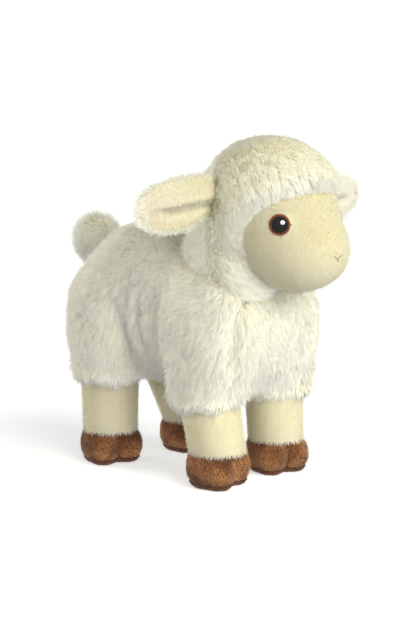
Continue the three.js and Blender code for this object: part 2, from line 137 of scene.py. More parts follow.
sky_links.new(strength.outputs["Result"], fill.inputs["Strength"])


def soft_sun(name, direction, strength, spread, colour):
    """A far lamp as wide as a softbox looks from the lamb."""
    lamp = bpy.data.lights.new(name, "SUN")
    lamp.energy = strength
    lamp.angle = math.radians(spread)
    lamp.color = colour
    holder = put_in_scene(name, lamp)
    holder.rotation_euler = (-Vector(direction)).to_track_quat("-Z", "Y").to_euler()


soft_sun("key_light", (-0.12, -0.92, 0.46), 2.9, 50, (0.985, 0.99, 0.80))
soft_sun("rump_light", (-0.42, 0.90, 0.22), 2.4, 45, (1, 0.99, 0.94))

# %% [markdown]
# ## Rounded forms
# Each stuffed part is a few egg-shaped lobes melted into one form. A field tells how far a point lies
# outside the form, and a search along straight lines from its middle finds the surface.
# Metaballs could do this too, but their mesh can't be steered, and here the rings must run round the lamb.

# %% Lobes, and how they melt together
def lobe(at, size, axis=1, squareness=2.0):
    """One egg of a form. Squareness above 2 swells it towards its ends along one axis."""
    return {"at": np.array(at, float) * MM, "half": np.array(size, float) * MM / 2, "axis": axis,
            "square": squareness}


def form(middle, spread, join, lobes, pole=1):
    """Lobes that melt into each other over about the length join."""
    return {"middle": np.array(middle, float) * MM, "spread": np.array(spread, float), "join": join * MM,
            "lobes": lobes, "pole": pole}


def outside(shape, points, grow=0.0):
    """How far points lie outside a form that has grown all round."""
    total = 0
    for one in shape["lobes"]:
        half = one["half"] + grow
        away = np.abs(points - one["at"]) / half
        others = [k for k in range(3) if k != one["axis"]]
        across = np.hypot(away[:, others[0]], away[:, others[1]])
        level = (across ** one["square"] + away[:, one["axis"]] ** one["square"]) ** (1 / one["square"])
        total = total + np.exp(-(level - 1) * half.min() / shape["join"])
    return -shape["join"] * np.log(np.maximum(total, 1e-30))


def reach_to_edge(shape, start, way, low, high, rounds, grow=0.0):
    """How far along each line the form's surface lies. The search halves its step in each round."""
    near, far = np.full(len(way), low), np.full(len(way), high)
    for _ in range(rounds):
        half = (near + far) / 2
        inside = outside(shape, start + way * half[:, None], grow) < 0
        near, far = np.where(inside, half, near), np.where(inside, far, half)
    return near


def surface_points(shape, directions, grow=0.0):
    """Where straight lines from the form's middle leave it."""
    unit = directions / np.linalg.norm(directions, axis=1, keepdims=True)
    reach = reach_to_edge(shape, shape["middle"], unit, 0.0, 0.4, 26, grow)
    return shape["middle"] + unit * reach[:, None]


def outward(shape, points, grow=0.0):
    """The direction straight out of a form at points near its surface."""
    steps = np.eye(3) * 0.2 * MM
    slope = np.stack([outside(shape, points + aside, grow) - outside(shape, points - aside, grow)
                      for aside in steps], axis=1)
    return slope / np.linalg.norm(slope, axis=1, keepdims=True)


# %% Rings and poles of a form as points and faces
def band_faces(bands, sides):
    """Triangles between rings of points that follow each other."""
    j = np.arange(sides)
    k = (j + 1) % sides
    faces = []
    for low in range(0, bands * sides, sides):
        high = low + sides
        faces += [np.stack([low + j, low + k, high + k], 1), np.stack([low + j, high + k, high + j], 1)]
    return faces


def ring_faces(rings, sides):
    """Triangles that join rings of points, and a last point at each end, into a closed skin."""
    j = np.arange(sides)
    k = (j + 1) % sides
    start = rings * sides
    top = start - sides
    first = np.stack([np.full(sides, start), k, j], 1)
    last = np.stack([np.full(sides, start + 1), top + j, top + k], 1)
    return np.concatenate([first, *band_faces(rings - 1, sides), last])


def form_skin(shape, rings, sides, grow=0.0):
    """A form's surface as points and faces, with its poles on its pole axis."""
    polar = np.pi - np.pi * np.arange(1, rings) / rings
    around = 2 * np.pi * np.arange(sides) / sides
    p, a = [grid.ravel() for grid in np.meshgrid(polar, around, indexing="ij")]
    turned = np.stack([np.sin(p) * np.cos(a), np.sin(p) * np.sin(a), np.cos(p)], 1)
    turned = np.concatenate([turned, [[0, 0, -1], [0, 0, 1]]])
    if shape["pole"] == 1:
        turned = turned[:, [1, 2, 0]]
    return surface_points(shape, turned * shape["spread"], grow), ring_faces(rings - 1, sides)


# %% [markdown]
# ## The lamb's forms
# The numbers are sizes in millimetres, judged from one photograph at an assumed height: the barrel of the
# body with a swelling over each leg, the hood and nape, the brow and muzzle, the face opening and the tail.

# %% Sizes of the forms
BODY_TOP = 146
ahead = AHEAD_OF_CENTRE / MM
HEM = 48.5

body_form = form([0, ahead, 98], [92, 152, 96], 5, [
    lobe([0, ahead, 98], [92, 152, 96], 1, 2.8), lobe([0, ahead + 40, 117], [60, 56, 62])] + [
    lobe([side * (26 - inset), end * 46 + ahead, HEM + size[2] / 2 + 0.3], size)
    for side in (-1, 1) for end, size, inset in ((1, (56, 61, 76), 5), (-1, (54, 57, 80), 4))])


def head_lobe(width, length, height, forward, rise):
    return lobe([0, ahead - forward, BODY_TOP + rise], [width, length, height])


hood_form = form([0, ahead - 63.5, 163], [84, 91, 86], 4, [
    head_lobe(84, 91, 86, 63.5, 17), head_lobe(70, 68, 58, 44, -8)])
face_form = form([0, ahead - 68, 148.5], [68, 72, 72], 5, [
    head_lobe(68, 72, 72, 68, 12), head_lobe(56, 55, 43, 86, -7.2)])
opening_form = form([0, ahead - 112, 145], [200, 82, 62], 4, [head_lobe(200, 82, 62, 112, -1)])
tail_form = form([0, ahead + 85, 136.5], [30, 30, 33], 3, [
    lobe([0, ahead + 85, 136.5], [30, 30, 33]), lobe([0, ahead + 73, 132], [20, 28, 22])])

NECK_POINT = np.array([0, ahead - 4, BODY_TOP]) * MM
NECK_UP = np.array([0, -math.sin(math.radians(20)), math.cos(math.radians(20))])


def above_neck(points):
    """How far points lie above the tilted plane in which head and body are sewn together."""
    return (points - NECK_POINT) @ NECK_UP


print("body surface", len(form_skin(body_form, 12, 20)[0]), "points when drawn coarsely")

# %% [markdown]
# ## Short words for nodes
# Node trees are long to write out one socket at a time. These helpers add a node, fill its inputs with
# values or with other nodes' outputs, and hand back its output, so that a tree reads like a sum.

# %% Helpers for node trees
def shown(sockets, name=None):
    return next(s for s in sockets if s.enabled and (name is None or s.name == name))


def add_node(tree, kind, inputs=None, out=None, **settings):
    """Adds a node and returns its output. Inputs are filled by name, or by place where names repeat."""
    made = tree.nodes.new(kind)
    for key, value in settings.items():
        setattr(made, key, value)
    for name, value in (inputs or {}).items():
        into = made.inputs[name] if isinstance(name, int) else shown(made.inputs, name)
        if isinstance(value, bpy.types.NodeSocket):
            tree.links.new(value, into)
        else:
            into.default_value = value
    return shown(made.outputs, out)


def number(tree, operation, *values):
    return add_node(tree, "ShaderNodeMath", dict(enumerate(values)), operation=operation)


def vector(tree, operation, *values):
    out = "Value" if operation in ("DOT_PRODUCT", "LENGTH") else "Vector"
    return add_node(tree, "ShaderNodeVectorMath", dict(enumerate(values)), out, operation=operation)


def times(tree, arrow, factor):
    return add_node(tree, "ShaderNodeVectorMath", {"Vector": arrow, "Scale": factor}, "Vector",
                    operation="SCALE")


def total(tree, first, *others):
    for other in others:
        first = vector(tree, "ADD", first, other)
    return first


def stored(tree, name, kind="FLOAT_VECTOR"):
    return add_node(tree, "GeometryNodeInputNamedAttribute", {"Name": name}, "Attribute", data_type=kind)


def store(tree, geometry, name, value, kind="FLOAT_VECTOR", domain="POINT"):
    return add_node(tree, "GeometryNodeStoreNamedAttribute",
                    {"Geometry": geometry, "Name": name, "Value": value},
                    "Geometry", data_type=kind, domain=domain)


# %% [markdown]
# ## How fur is planted
# On a skin, points are scattered for the strands and, further apart, for the locks. Each point gets a path
# that starts out from the cloth and bends over along the nap. A strand follows its own path at the root and
# the nearest lock's path at the tip, which draws the fur into the soft tufts of a plush toy.
# Every strand is one thin strip. Instances carry the paths' numbers, and after Realize Instances a
# Set Position node lays each strip along its path.

# %% One strip, three triangles from a broad root to a point
def strip_object():
    mesh = bpy.data.meshes.new("strip")
    mesh.from_pydata([(0, 0, 0)] * 5, [], [(0, 1, 2, 4), (4, 2, 3)])
    mesh.attributes.new("side", "FLOAT", "POINT").data.foreach_set("value", [-0.5, 0.5, 0.42, 0, -0.42])
    mesh.attributes.new("along", "FLOAT", "POINT").data.foreach_set("value", [0, 0, 0.55, 1, 0.55])
    return put_in_scene("strip", mesh)


strip = strip_object()
print("strip:", len(strip.data.vertices), "points")

# %% The strand tree
TONES = 12  # columns of the fur's colour map: each strand lies in one


def new_tree(name, sockets):
    tree = bpy.data.node_groups.new(name, "GeometryNodeTree")
    tree.interface.new_socket("Geometry", in_out="INPUT", socket_type="NodeSocketGeometry")
    for label, kind in sockets:
        tree.interface.new_socket(label, in_out="INPUT", socket_type="NodeSocket" + kind)
    tree.interface.new_socket("Geometry", in_out="OUTPUT", socket_type="NodeSocketGeometry")
    return tree, tree.nodes.new("NodeGroupInput").outputs, tree.nodes.new("NodeGroupOutput").inputs


def strand_tree():
    sizes = ("Strands per square metre", "Length", "Width", "Lift at root", "Lift at tip", "Disorder",
             "Lock spacing", "Lock pull", "Lock disorder", "Ruffle", "Ruffle scale", "Patch scale",
             "Patch strength")
    tree, given, result = new_tree("plant_fur", [(size, "Float") for size in sizes] + [
        ("Seed", "Int"), ("Strip", "Object"), ("Material", "Material")])

    def rolled(low, high, step, kind="FLOAT"):
        """A random value for each point, from a seed of its own."""
        seed = number(tree, "ADD", given["Seed"], step)
        lows, highs = ((low,) * 3, (high,) * 3) if kind == "FLOAT_VECTOR" else (low, high)
        return add_node(tree, "FunctionNodeRandomValue", {"Min": lows, "Max": highs, "Seed": seed}, "Value",
                        data_type=kind)

    def with_path(points, normal, disorder, step, prefix):
        """Stores on each point where its path starts, which way it sets out and how it bends."""
        start = add_node(tree, "GeometryNodeInputPosition")
        swirl = add_node(tree, "ShaderNodeTexNoise", {"Scale": given["Ruffle scale"], "Detail": 1.0}, "Color")
        pile = stored(tree, "pile", "FLOAT")
        calm = add_node(tree, "ShaderNodeClamp", {"Value": number(tree, "MULTIPLY_ADD", pile, 2.2, -1.1)})
        ruffle = number(tree, "MULTIPLY", given["Ruffle"], calm)  # weaker where the pile is short
        swirl = times(tree, vector(tree, "SUBTRACT", swirl, (0.5, 0.5, 0.5)), ruffle)
        comb = vector(tree, "NORMALIZE", total(tree, stored(tree, "comb"), swirl))
        wild = times(tree, rolled(-1.0, 1.0, step, "FLOAT_VECTOR"), disorder)
        stray = number(tree, "MULTIPLY", number(tree, "POWER", rolled(0.0, 1.0, step + 2), 7.0), 0.7)
        ways = []
        for name in ("Lift at root", "Lift at tip"):
            lift = number(tree, "MINIMUM", number(tree, "ADD", given[name], stray), 0.95)
            flat = number(tree, "SUBTRACT", 1.0, lift)
            lean = total(tree, times(tree, normal, lift), times(tree, comb, flat), wild)
            ways.append(vector(tree, "NORMALIZE", lean))
        size = number(tree, "MULTIPLY", pile, rolled(0.78, 1.2, step + 1))
        size = number(tree, "MULTIPLY", given["Length"], size)
        bend = times(tree, vector(tree, "SUBTRACT", ways[1], ways[0]), number(tree, "MULTIPLY", size, 0.5))
        points = store(tree, points, prefix + "start", start)
        points = store(tree, points, prefix + "reach", times(tree, ways[0], size))
        return store(tree, points, prefix + "bend", bend), ways[1]

    lock = tree.nodes.new("GeometryNodeDistributePointsOnFaces")
    lock.distribute_method = "POISSON"
    spacing = given["Lock spacing"]
    lock_density = number(tree, "DIVIDE", 1.3, number(tree, "MULTIPLY", spacing, spacing))
    for name, value in (("Mesh", given["Geometry"]), ("Distance Min", spacing), ("Density Max", lock_density),
                        ("Seed", given["Seed"])):
        tree.links.new(value, shown(lock.inputs, name))
    locks, _ = with_path(lock.outputs["Points"], lock.outputs["Normal"], given["Lock disorder"], 11, "lock_")

    plant = tree.nodes.new("GeometryNodeDistributePointsOnFaces")
    for name, value in (("Mesh", given["Geometry"]), ("Density", given["Strands per square metre"]),
                        ("Seed", given["Seed"])):
        tree.links.new(value, shown(plant.inputs, name))
    normal = plant.outputs["Normal"]
    points, tip_way = with_path(plant.outputs["Points"], normal, given["Disorder"], 21, "")
    nearest = add_node(tree, "GeometryNodeSampleNearest", {"Geometry": locks})
    for part in ("lock_start", "lock_reach", "lock_bend"):
        there = add_node(tree, "GeometryNodeSampleIndex",
                         {"Geometry": locks, "Value": stored(tree, part), "Index": nearest},
                         "Value", data_type="FLOAT_VECTOR")
        points = store(tree, points, part, there)
    # The strip's width runs across its path, rolled by chance so that strips face many ways
    across = vector(tree, "NORMALIZE", vector(tree, "CROSS_PRODUCT", tip_way, normal))
    over = vector(tree, "CROSS_PRODUCT", across, tip_way)
    roll = rolled(-0.5, 0.5, 31)
    across = total(tree, times(tree, across, number(tree, "COSINE", roll)),
                   times(tree, over, number(tree, "SINE", roll)))
    points = store(tree, points, "across", times(tree, across, given["Width"]))
    face = vector(tree, "CROSS_PRODUCT", tip_way, across)
    face = times(tree, face, number(tree, "SIGN", vector(tree, "DOT_PRODUCT", face, normal)))
    points = store(tree, points, "shade", total(tree, times(tree, normal, 0.85), times(tree, face, 0.15)))
    # Patches of strands share a tone. On the velvet, whose tint is strong, this paints sheen and shade; on
    # the other cloths it is a faint tone that differs at random.
    patch = add_node(tree, "ShaderNodeTexNoise", {"Scale": given["Patch scale"], "Detail": 1.0}, "Fac")
    tone = number(tree, "MULTIPLY_ADD", number(tree, "SUBTRACT", patch, 0.5), given["Patch strength"],
                  rolled(0.15, 0.85, 41))
    tone = add_node(tree, "ShaderNodeClamp", {"Value": tone, "Max": 0.999})
    tone = number(tree, "FLOOR", number(tree, "MULTIPLY", tone, float(TONES)))
    points = store(tree, points, "tone", tone, "FLOAT")

    sides = add_node(tree, "GeometryNodeObjectInfo", {"Object": given["Strip"]}, "Geometry")
    planted = add_node(tree, "GeometryNodeInstanceOnPoints", {"Points": points, "Instance": sides})
    strands = add_node(tree, "GeometryNodeRealizeInstances", {"Geometry": planted})

    t = stored(tree, "along", "FLOAT")
    squared = number(tree, "MULTIPLY", t, t)
    own, shared = [total(tree, stored(tree, prefix + "start"), times(tree, stored(tree, prefix + "reach"), t),
                         times(tree, stored(tree, prefix + "bend"), squared)) for prefix in ("", "lock_")]
    pull = number(tree, "MULTIPLY", given["Lock pull"], number(tree, "POWER", t, 1.4))
    spine = total(tree, own, times(tree, vector(tree, "SUBTRACT", shared, own), pull))
    half = times(tree, stored(tree, "across"), stored(tree, "side", "FLOAT"))
    place = total(tree, spine, half)
    strands = add_node(tree, "GeometryNodeSetPosition", {"Geometry": strands, "Position": place})
    column = number(tree, "ADD", number(tree, "ADD", stored(tree, "tone", "FLOAT"), 0.5),
                    number(tree, "MULTIPLY", stored(tree, "side", "FLOAT"), 0.7))
    spot = add_node(tree, "ShaderNodeCombineXYZ", {"X": number(tree, "DIVIDE", column, float(TONES)),
                                                   "Y": number(tree, "MULTIPLY_ADD", t, 0.8, 0.15)})
    strands = store(tree, strands, "OFBake", spot, "FLOAT2", "CORNER")
    joined = tree.nodes.new("GeometryNodeJoinGeometry")
    tree.links.new(strands, joined.inputs[0])
    tree.links.new(given["Geometry"], joined.inputs[0])
    whole = add_node(tree, "GeometryNodeRealizeInstances", {"Geometry": joined.outputs[0]})
    painted = add_node(tree, "GeometryNodeSetMaterial", {"Geometry": whole, "Material": given["Material"]})
    tree.links.new(painted, result["Geometry"])
    return tree


fur_tree = strand_tree()
print("strand tree:", len(fur_tree.nodes), "nodes")

# %% [markdown]
# ## Fur colours
# Each strand lies in one column of a small colour map: its root at the bottom, its tip at the top. So the
# material only has to say how the colour runs from root to tip, and how the columns differ.
# A pattern on Object coordinates would also work, but it could not follow each strand.

# %% A material for fur
def mixed(tree, factor, first, second, way="MIX"):
    """One colour out of two. The mixing node keeps its colour sockets at places 6 and 7."""
    return add_node(tree, "ShaderNodeMix", {"Factor": factor, 6: first, 7: second}, "Result",
                    data_type="RGBA", blend_type=way)


def fur_material(name, root, tip, dark, light, glow, sheen=0.2, rough=0.85):
    """Colours run from root to tip, and each column is tinted between a dark and a light one. Glow is the
    share of the light that goes on through a strand, as it does through fine white fibre."""
    paint, tree, shader = new_paint(name, Roughness=rough, Specular_IOR_Level=0.15, Sheen_Weight=sheen,
                                    Sheen_Roughness=0.6)
    on_map = add_node(tree, "ShaderNodeUVMap", uv_map="OFBake")
    spot = add_node(tree, "ShaderNodeSeparateXYZ", {"Vector": on_map}).node.outputs
    column = number(tree, "FLOOR", number(tree, "MULTIPLY", spot["X"], float(TONES)))
    column = number(tree, "DIVIDE", column, TONES - 1.0)
    run = add_node(tree, "ShaderNodeMapRange", {"Value": spot["Y"], "From Min": 0.1, "From Max": 0.7},
                   "Result")
    length = mixed(tree, run, (*root, 1), (*tip, 1))
    tint = mixed(tree, column, (*dark, 1), (*light, 1))
    colour = mixed(tree, 1.0, length, tint, "MULTIPLY")
    tree.links.new(colour, shader.inputs["Base Color"])
    through = add_node(tree, "ShaderNodeBsdfTranslucent", {"Color": colour})
    both = add_node(tree, "ShaderNodeMixShader", {0: glow, 1: shader.outputs["BSDF"], 2: through})
    tree.links.new(both, tree.nodes["Material Output"].inputs["Surface"])
    return paint


WHITE = (1, 1, 1)
fleece_paint = fur_material("ivory_fleece", (0.985, 0.955, 0.82), (0.99, 0.99, 0.92),
                            (0.97, 0.96, 0.94), WHITE, glow=0.5)
pile_paint = fur_material("cream_pile", (0.96, 0.915, 0.70), (0.945, 0.93, 0.79),
                          (0.955, 0.94, 0.90), WHITE, glow=0.5)
# The ear lining is a copy of the face's cream pile, a little darker and less yellow. It is painted darker as
# shade, to hold back the strong front light that falls on the ears.
shaded_lining_paint = fur_material("ear_lining_pile_shaded", (0.94, 0.91, 0.78), (0.925, 0.92, 0.835),
                            (0.95, 0.93, 0.90), WHITE, glow=0.5)
# The velvet's dark column tint is painted shade: with the strong patch tint it darkens whole patches, as
# brushed velvet looks where its nap turns from the light.
velvet_paint = fur_material("brown_velvet", (0.31, 0.108, 0.032), (0.70, 0.35, 0.135),
                            (0.34, 0.28, 0.24), WHITE, glow=0.1)
print("fur colours:", fleece_paint.name, pile_paint.name, velvet_paint.name)

# %% [markdown]
# ## From skin to fur
# A skin carries two numbers at each point: comb, the way its nap lies, and pile, how long its strands are.
# The tree's result becomes a plain mesh, so that it travels to other programs. Its shading leans on the
# skin's own curve, because light scatters through real fur and hides the turn of each strand.

# %% Skins and fur pieces
def skin_object(name, points, faces, comb, pile=None):
    """A cloth skin with its nap, and the corner of the colour map that it lies in."""
    used = np.unique(faces)
    place = np.zeros(len(points), int)
    place[used] = np.arange(len(used))
    points, faces, comb = points[used], place[faces], comb[used]
    pile = np.ones(len(points)) if pile is None else pile[used]
    mesh = bpy.data.meshes.new(name)
    mesh.vertices.add(len(points))
    mesh.vertices.foreach_set("co", points.astype(np.float32).ravel())
    mesh.loops.add(faces.size)
    mesh.loops.foreach_set("vertex_index", faces.astype(np.int32).ravel())
    mesh.polygons.add(len(faces))
    mesh.polygons.foreach_set("loop_start", np.arange(0, faces.size, faces.shape[1], dtype=np.int32))
    mesh.update(calc_edges=True)
    combed = mesh.attributes.new("comb", "FLOAT_VECTOR", "POINT")
    combed.data.foreach_set("vector", comb.astype(np.float32).ravel())
    mesh.attributes.new("pile", "FLOAT", "POINT").data.foreach_set("value", pile.astype(np.float32))
    low, size = points.min(0), np.ptp(points, axis=0) + 1e-9
    share = (points - low) / size
    spots = np.stack([0.02 + 0.96 * share[:, 1], 0.02 + 0.08 * share[:, 2]], 1)[faces.ravel()]
    mesh.uv_layers.new(name="OFBake").data.foreach_set("uv", spots.astype(np.float32).ravel())
    return put_in_scene(name, mesh)


def run_tree(holder, tree, values):
    """Runs a node tree on an object, keeps the result as a plain mesh and removes the object."""
    modifier = holder.modifiers.new("nodes", "NODES")
    modifier.node_group = tree
    for item in tree.interface.items_tree:
        if item.in_out == "INPUT" and item.name in values:
            modifier[item.identifier] = values[item.name]
    holder.update_tag()
    graph = bpy.context.evaluated_depsgraph_get()
    mesh = bpy.data.meshes.new_from_object(holder.evaluated_get(graph), depsgraph=graph)
    bpy.data.objects.remove(holder)
    return mesh


USUAL_FUR = {"Strip": strip, "Seed": 3, "Ruffle": 0.0, "Ruffle scale": 60.0, "Patch scale": 70.0,
             "Patch strength": 1.0}
# What the tree writes on the strands, and nobody needs afterwards
STRAND_NOTES = ("comb", "pile", "start", "reach", "bend", "lock_start", "lock_reach", "lock_bend", "across",
                "shade", "tone", "side", "along")


def plant_fur(name, skin, paint, **sizes):
    """Plants a skin with fur whose shading leans on the skin's own curve."""
    asked = {key.replace("_", " ").capitalize(): value for key, value in sizes.items()}
    mesh = run_tree(skin, fur_tree, {"Material": paint, **USUAL_FUR, **asked})
    mesh.name = name
    shade = np.zeros(len(mesh.vertices) * 3, np.float32)
    mesh.attributes["shade"].data.foreach_get("vector", shade)
    shade = shade.reshape(-1, 3)
    own = np.zeros(len(mesh.vertices) * 3, np.float32)
    mesh.vertices.foreach_get("normal", own)
    own = own.reshape(-1, 3)
    bare = np.linalg.norm(shade, axis=1) < 0.1
    shade[bare] = own[bare]
    shade /= np.linalg.norm(shade, axis=1, keepdims=True)
    mesh.shade_smooth()
    mesh.normals_split_custom_set_from_vertices(shade)
    for extra in [a.name for a in mesh.attributes if a.name in STRAND_NOTES]:
        mesh.attributes.remove(mesh.attributes[extra])
    print(name, len(mesh.polygons), "faces")
    return put_in_scene(name, mesh)


def finish_piece(piece, body, nodes):
    """Rides a piece on its body, and hides the CAD nodes that it stands for."""
    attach(piece, body)
    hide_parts(*nodes)


def clothe(name, node, cloth, body, points, faces, comb, pile=None):
    """Makes a skin, plants its fur and finishes the piece that stands for one node."""
    paint, slot, lie = cloth
    piece = plant_fur(name, skin_object("skin_" + node, points, faces, comb, pile), paint, **lie)
    finish_piece(piece, body, [node])


def along_surface(normals, flow):
    """The part of a flow that runs along a surface, one long."""
    flat = flow - normals * np.sum(normals * flow, axis=1, keepdims=True)
    return flat / np.maximum(np.linalg.norm(flat, axis=1, keepdims=True), 1e-9)


# %% [markdown]
# ## Body panels
# The body is one rounded form, cut into a chest, a belly and two side panels. The fleece's backing lies
# below the tips of its pile. The nap runs back and down, as on the cloth of the real toy.

# %% Body fleece
BACKING = 3.2 * MM  # how far the backing cloth lies under the tips of the pile
# Hip x and y, how far the foot stands ahead and out to the side, and how much higher the hem is
LEGS = {"front_right": (-26, -46 + 6, 6, 0, 0), "front_left": (26, -46 + 1.5, 1.5, 0, 0),
        "rear_right": (-26, 46, 0, 0, 3.5), "rear_left": (26, 46 - 4, 8, 6, 3.5)}
HOOF_TOP = 22
SLIM = 3.0 * MM  # what melting the lobes together adds all round, taken off again
FLEECE_FUR = dict(strands_per_square_metre=4.9e6, length=0.0070, width=0.00042, lift_at_root=0.44,
                  lift_at_tip=0.10, disorder=0.17, lock_spacing=0.0034, lock_pull=0.26, lock_disorder=0.16,
                  ruffle=1.0, ruffle_scale=48.0)
FLEECE = (fleece_paint, "fleece", FLEECE_FUR)


def leg_axis(leg, height):
    """The middle of a leg at a height in millimetres, as x and y in metres."""
    x, y, stride, spread, _ = LEGS[leg]
    share = np.clip((np.asarray(height, float) - HOOF_TOP) / (HEM - HOOF_TOP), 0, 1)
    foot = np.array([x + math.copysign(spread, x), y - stride])
    hip = np.array([x, y])
    middle = foot + (hip - foot) * share[..., None]
    return (middle + [0, ahead]) * MM


def in_leg(points, leg, radius):
    centre = leg_axis(leg, points[:, 2] / MM)
    return np.hypot(points[:, 0] - centre[:, 0], points[:, 1] - centre[:, 1]) < radius


CUFF, SHIN_RADIUS = 25.3, 17.5
sleeve_lobes = [lobe([*(leg_axis(leg, HEM) / MM), 76 + LEGS[leg][4] / 2], [2 * CUFF, 2 * CUFF, 64], 2, 5)
                for leg in LEGS]
clothed_form = {**body_form, "lobes": body_form["lobes"] + sleeve_lobes}
SLEEVE_TOP = 64 * MM


def bump(value, middle, width):
    """One at the middle, fading smoothly to nothing over about the width on both sides."""
    return np.exp(-(((value - middle) / width) ** 2))


def step(value, low, high):
    """Nothing below low and one above high, with a smooth rise between."""
    share = np.clip((value - low) / (high - low), 0, 1)
    return share * share * (3 - 2 * share)


def chest_seam(z):
    """How far from the lamb's middle the seam between chest and side lies at a height, in millimetres."""
    return 34 - np.where(z > 94, 0.030, 0.002) * (z - 94) ** 2


def body_dents(points):
    """How deep the cloth is drawn in by the waist, its folds and the seams, in metres."""
    x, y, z = (points - [0, AHEAD_OF_CENTRE, 0]).T / MM
    side = step(np.abs(x), 22, 38)
    waist = 3.6 * step(y, -26, -8) * (1 - step(y, 12, 26)) * step(z, 50, 62) * (1 - step(z, 108, 132)) * side
    bow = 4 * (1 - ((z - 96) / 30) ** 2)
    rolls = 2.0 * np.cos(2 * np.pi * (y - bow) / 11.5) * bump(y, 3, 15) * bump(z, 97, 22) * side
    haunch = 4.6 * bump(y, 18.5 + 0.006 * (z - 80) ** 2, 3.4) * step(z, 46, 58)
    haunch = haunch * (1 - step(z, 90, 116)) * side
    shoulder = 3.2 * bump(y, -14 - 0.004 * (z - 95) ** 2, 3.6) * step(z, 60, 75)
    shoulder = shoulder * (1 - step(z, 100, 128)) * side
    front = 1 - step(y, -62, -50)
    seam = 3.4 * bump(np.abs(x), chest_seam(z), 2.2) * front * (1 - step(z, 112, 124)) * step(z, 64, 84)
    chest = 2.2 * front * (1 - step(np.abs(x), 18, 40))
    return (waist + rolls + haunch + shoulder + seam + chest) * MM


def fleece_skin(points, nap):
    """Draws the cloth in at the dents, and says how its nap lies and how long its pile is."""
    normals = outward(clothed_form, points, -BACKING - SLIM)
    x, y, z = (points - [0, AHEAD_OF_CENTRE, 0]).T / MM
    from_seam = np.abs(x) - chest_seam(z)
    parted = bump(from_seam, 0, 4) * (1 - step(y, -62, -50)) * step(z, 64, 84)
    flow = np.tile(np.array(nap, float), (len(points), 1))
    flow[:, 0] += np.sign(x) * np.tanh(from_seam / 2) * parted * 0.9
    comb = along_surface(normals, flow)
    under_hood = step(above_neck(points) / MM, -13, -4)
    dents = body_dents(points)
    pile = (1 - 0.3 * parted) * (1 - 0.55 * under_hood) * (1 - 0.3 * step(dents / MM, 4, 8))
    pile *= 1 - 0.3 * step(normals[:, 2], 0.5, 0.95)
    back = step(normals[:, 2], 0.3, 0.85) * (1 - 0.6 * under_hood)
    flank = step(np.abs(x), 20, 34) * step(y, -46, -30) * (1 - step(y, 34, 50)) * step(z, 46, 60)
    rise = (3.4 * back + 2.0 * flank * (1 - back)) * MM  # the back and flanks are fuller than the ends
    return points - normals * (dents - rise)[:, None], comb, pile


points, faces = form_skin(clothed_form, 110, 160, -BACKING - SLIM)
points, comb, pile = fleece_skin(points, (0, 0.45, -1))
middle = points[faces].mean(1)
keep = above_neck(middle) < 3 * MM
across, along, up = (middle - [0, AHEAD_OF_CENTRE, 0]).T
for leg in LEGS:  # the sleeves take over round each leg
    core = in_leg(middle, leg, (CUFF - 3) * MM) | (up < 58 * MM)
    keep &= ~(in_leg(middle, leg, 31 * MM) & (up < SLEEVE_TOP) & core)
front = along < -52 * MM
chest = front & (np.abs(across) < chest_seam(up / MM) * MM)
belly = ~front & (np.abs(across) < 22 * MM) & (up < 64 * MM) & (along < 60 * MM)
panels = {"chest_panel": chest, "belly_panel": belly, "side_panel_right": ~chest & ~belly & (across < 0),
          "side_panel_left": ~chest & ~belly & (across >= 0)}
for name, part in panels.items():
    clothe("fleece_" + name, name, FLEECE, "body", points, faces[part & keep], comb, pile)

# %% [markdown]
# ## Upper legs
# A sleeve of fleece runs down from the shoulder or the haunch and ends in a hem over the shin. It lies on
# the same melted surface as the body, so the cloth runs on without a step, but its rings run round the leg.

# %% Rings round a leg
def round_ring(angles, radius, height, centre=(0, 0)):
    """Points at angles round an upright axis, with the height in millimetres."""
    return np.column_stack([centre[0] + radius * np.cos(angles), centre[1] + radius * np.sin(angles),
                            np.full(len(angles), height * MM)])


def tube(middle_at, heights, radius_at, sides=72):
    """An open tube of rings round an axis, from the lowest height up."""
    a = 2 * np.pi * np.arange(sides) / sides
    rings = []
    for h in heights:
        radius, centre = radius_at(h, a), middle_at(h)
        rings.append(round_ring(a, radius, h, centre))
    return np.concatenate(rings), np.concatenate(band_faces(len(heights) - 1, sides))


def cloth_radius(leg, height, angles):
    """How far out from the leg's middle the fleece's backing lies, at most 33 mm."""
    start, way = [*leg_axis(leg, height), height * MM], round_ring(angles, 1, 0)
    return reach_to_edge(clothed_form, start, way, 5 * MM, 33 * MM, 22, -BACKING - SLIM)


# %% Sleeve fleece
cuff = CUFF * MM - BACKING - 1.5 * MM


def sleeve_radius(h, angles):
    """The lip turns in to the shin, then comes the straight cuff, then the body's own surface."""
    upper = np.where(h < hem + 8, cuff, np.maximum(cuff, cloth_radius(leg, h, angles)))
    return np.where(h < lip + 0.3, SHIN_RADIUS * MM, upper)


for leg in LEGS:
    hem = HEM + LEGS[leg][4] * 1.8
    lip = hem + 3.5
    heights = np.concatenate([[lip], np.linspace(lip + 0.4, hem + 8, 7),
                              np.linspace(hem + 9, SLEEVE_TOP / MM + 2, 12)])
    sleeve_points, sleeve_faces = tube(lambda h: leg_axis(leg, h), heights, sleeve_radius)
    sleeve_points, comb, pile = fleece_skin(sleeve_points, (0, 0.15, -1))
    turn = np.arctan2(*(sleeve_points[:, :2] - leg_axis(leg, hem)).T)
    tufts = 0.35 + 0.2 * np.sin(7 * turn) + 0.2 * np.sin(17 * turn + 1) + 0.15 * np.sin(31 * turn + 2)
    pile = pile * (1 + tufts * (1 - step(sleeve_points[:, 2] / MM, hem, hem + 10)))
    middle = sleeve_points[sleeve_faces].mean(1)
    clothe("fleece_sleeve_" + leg, "sleeve_" + leg, FLEECE, "body", sleeve_points,
           sleeve_faces[in_leg(middle, leg, 32.5 * MM)], comb, pile)

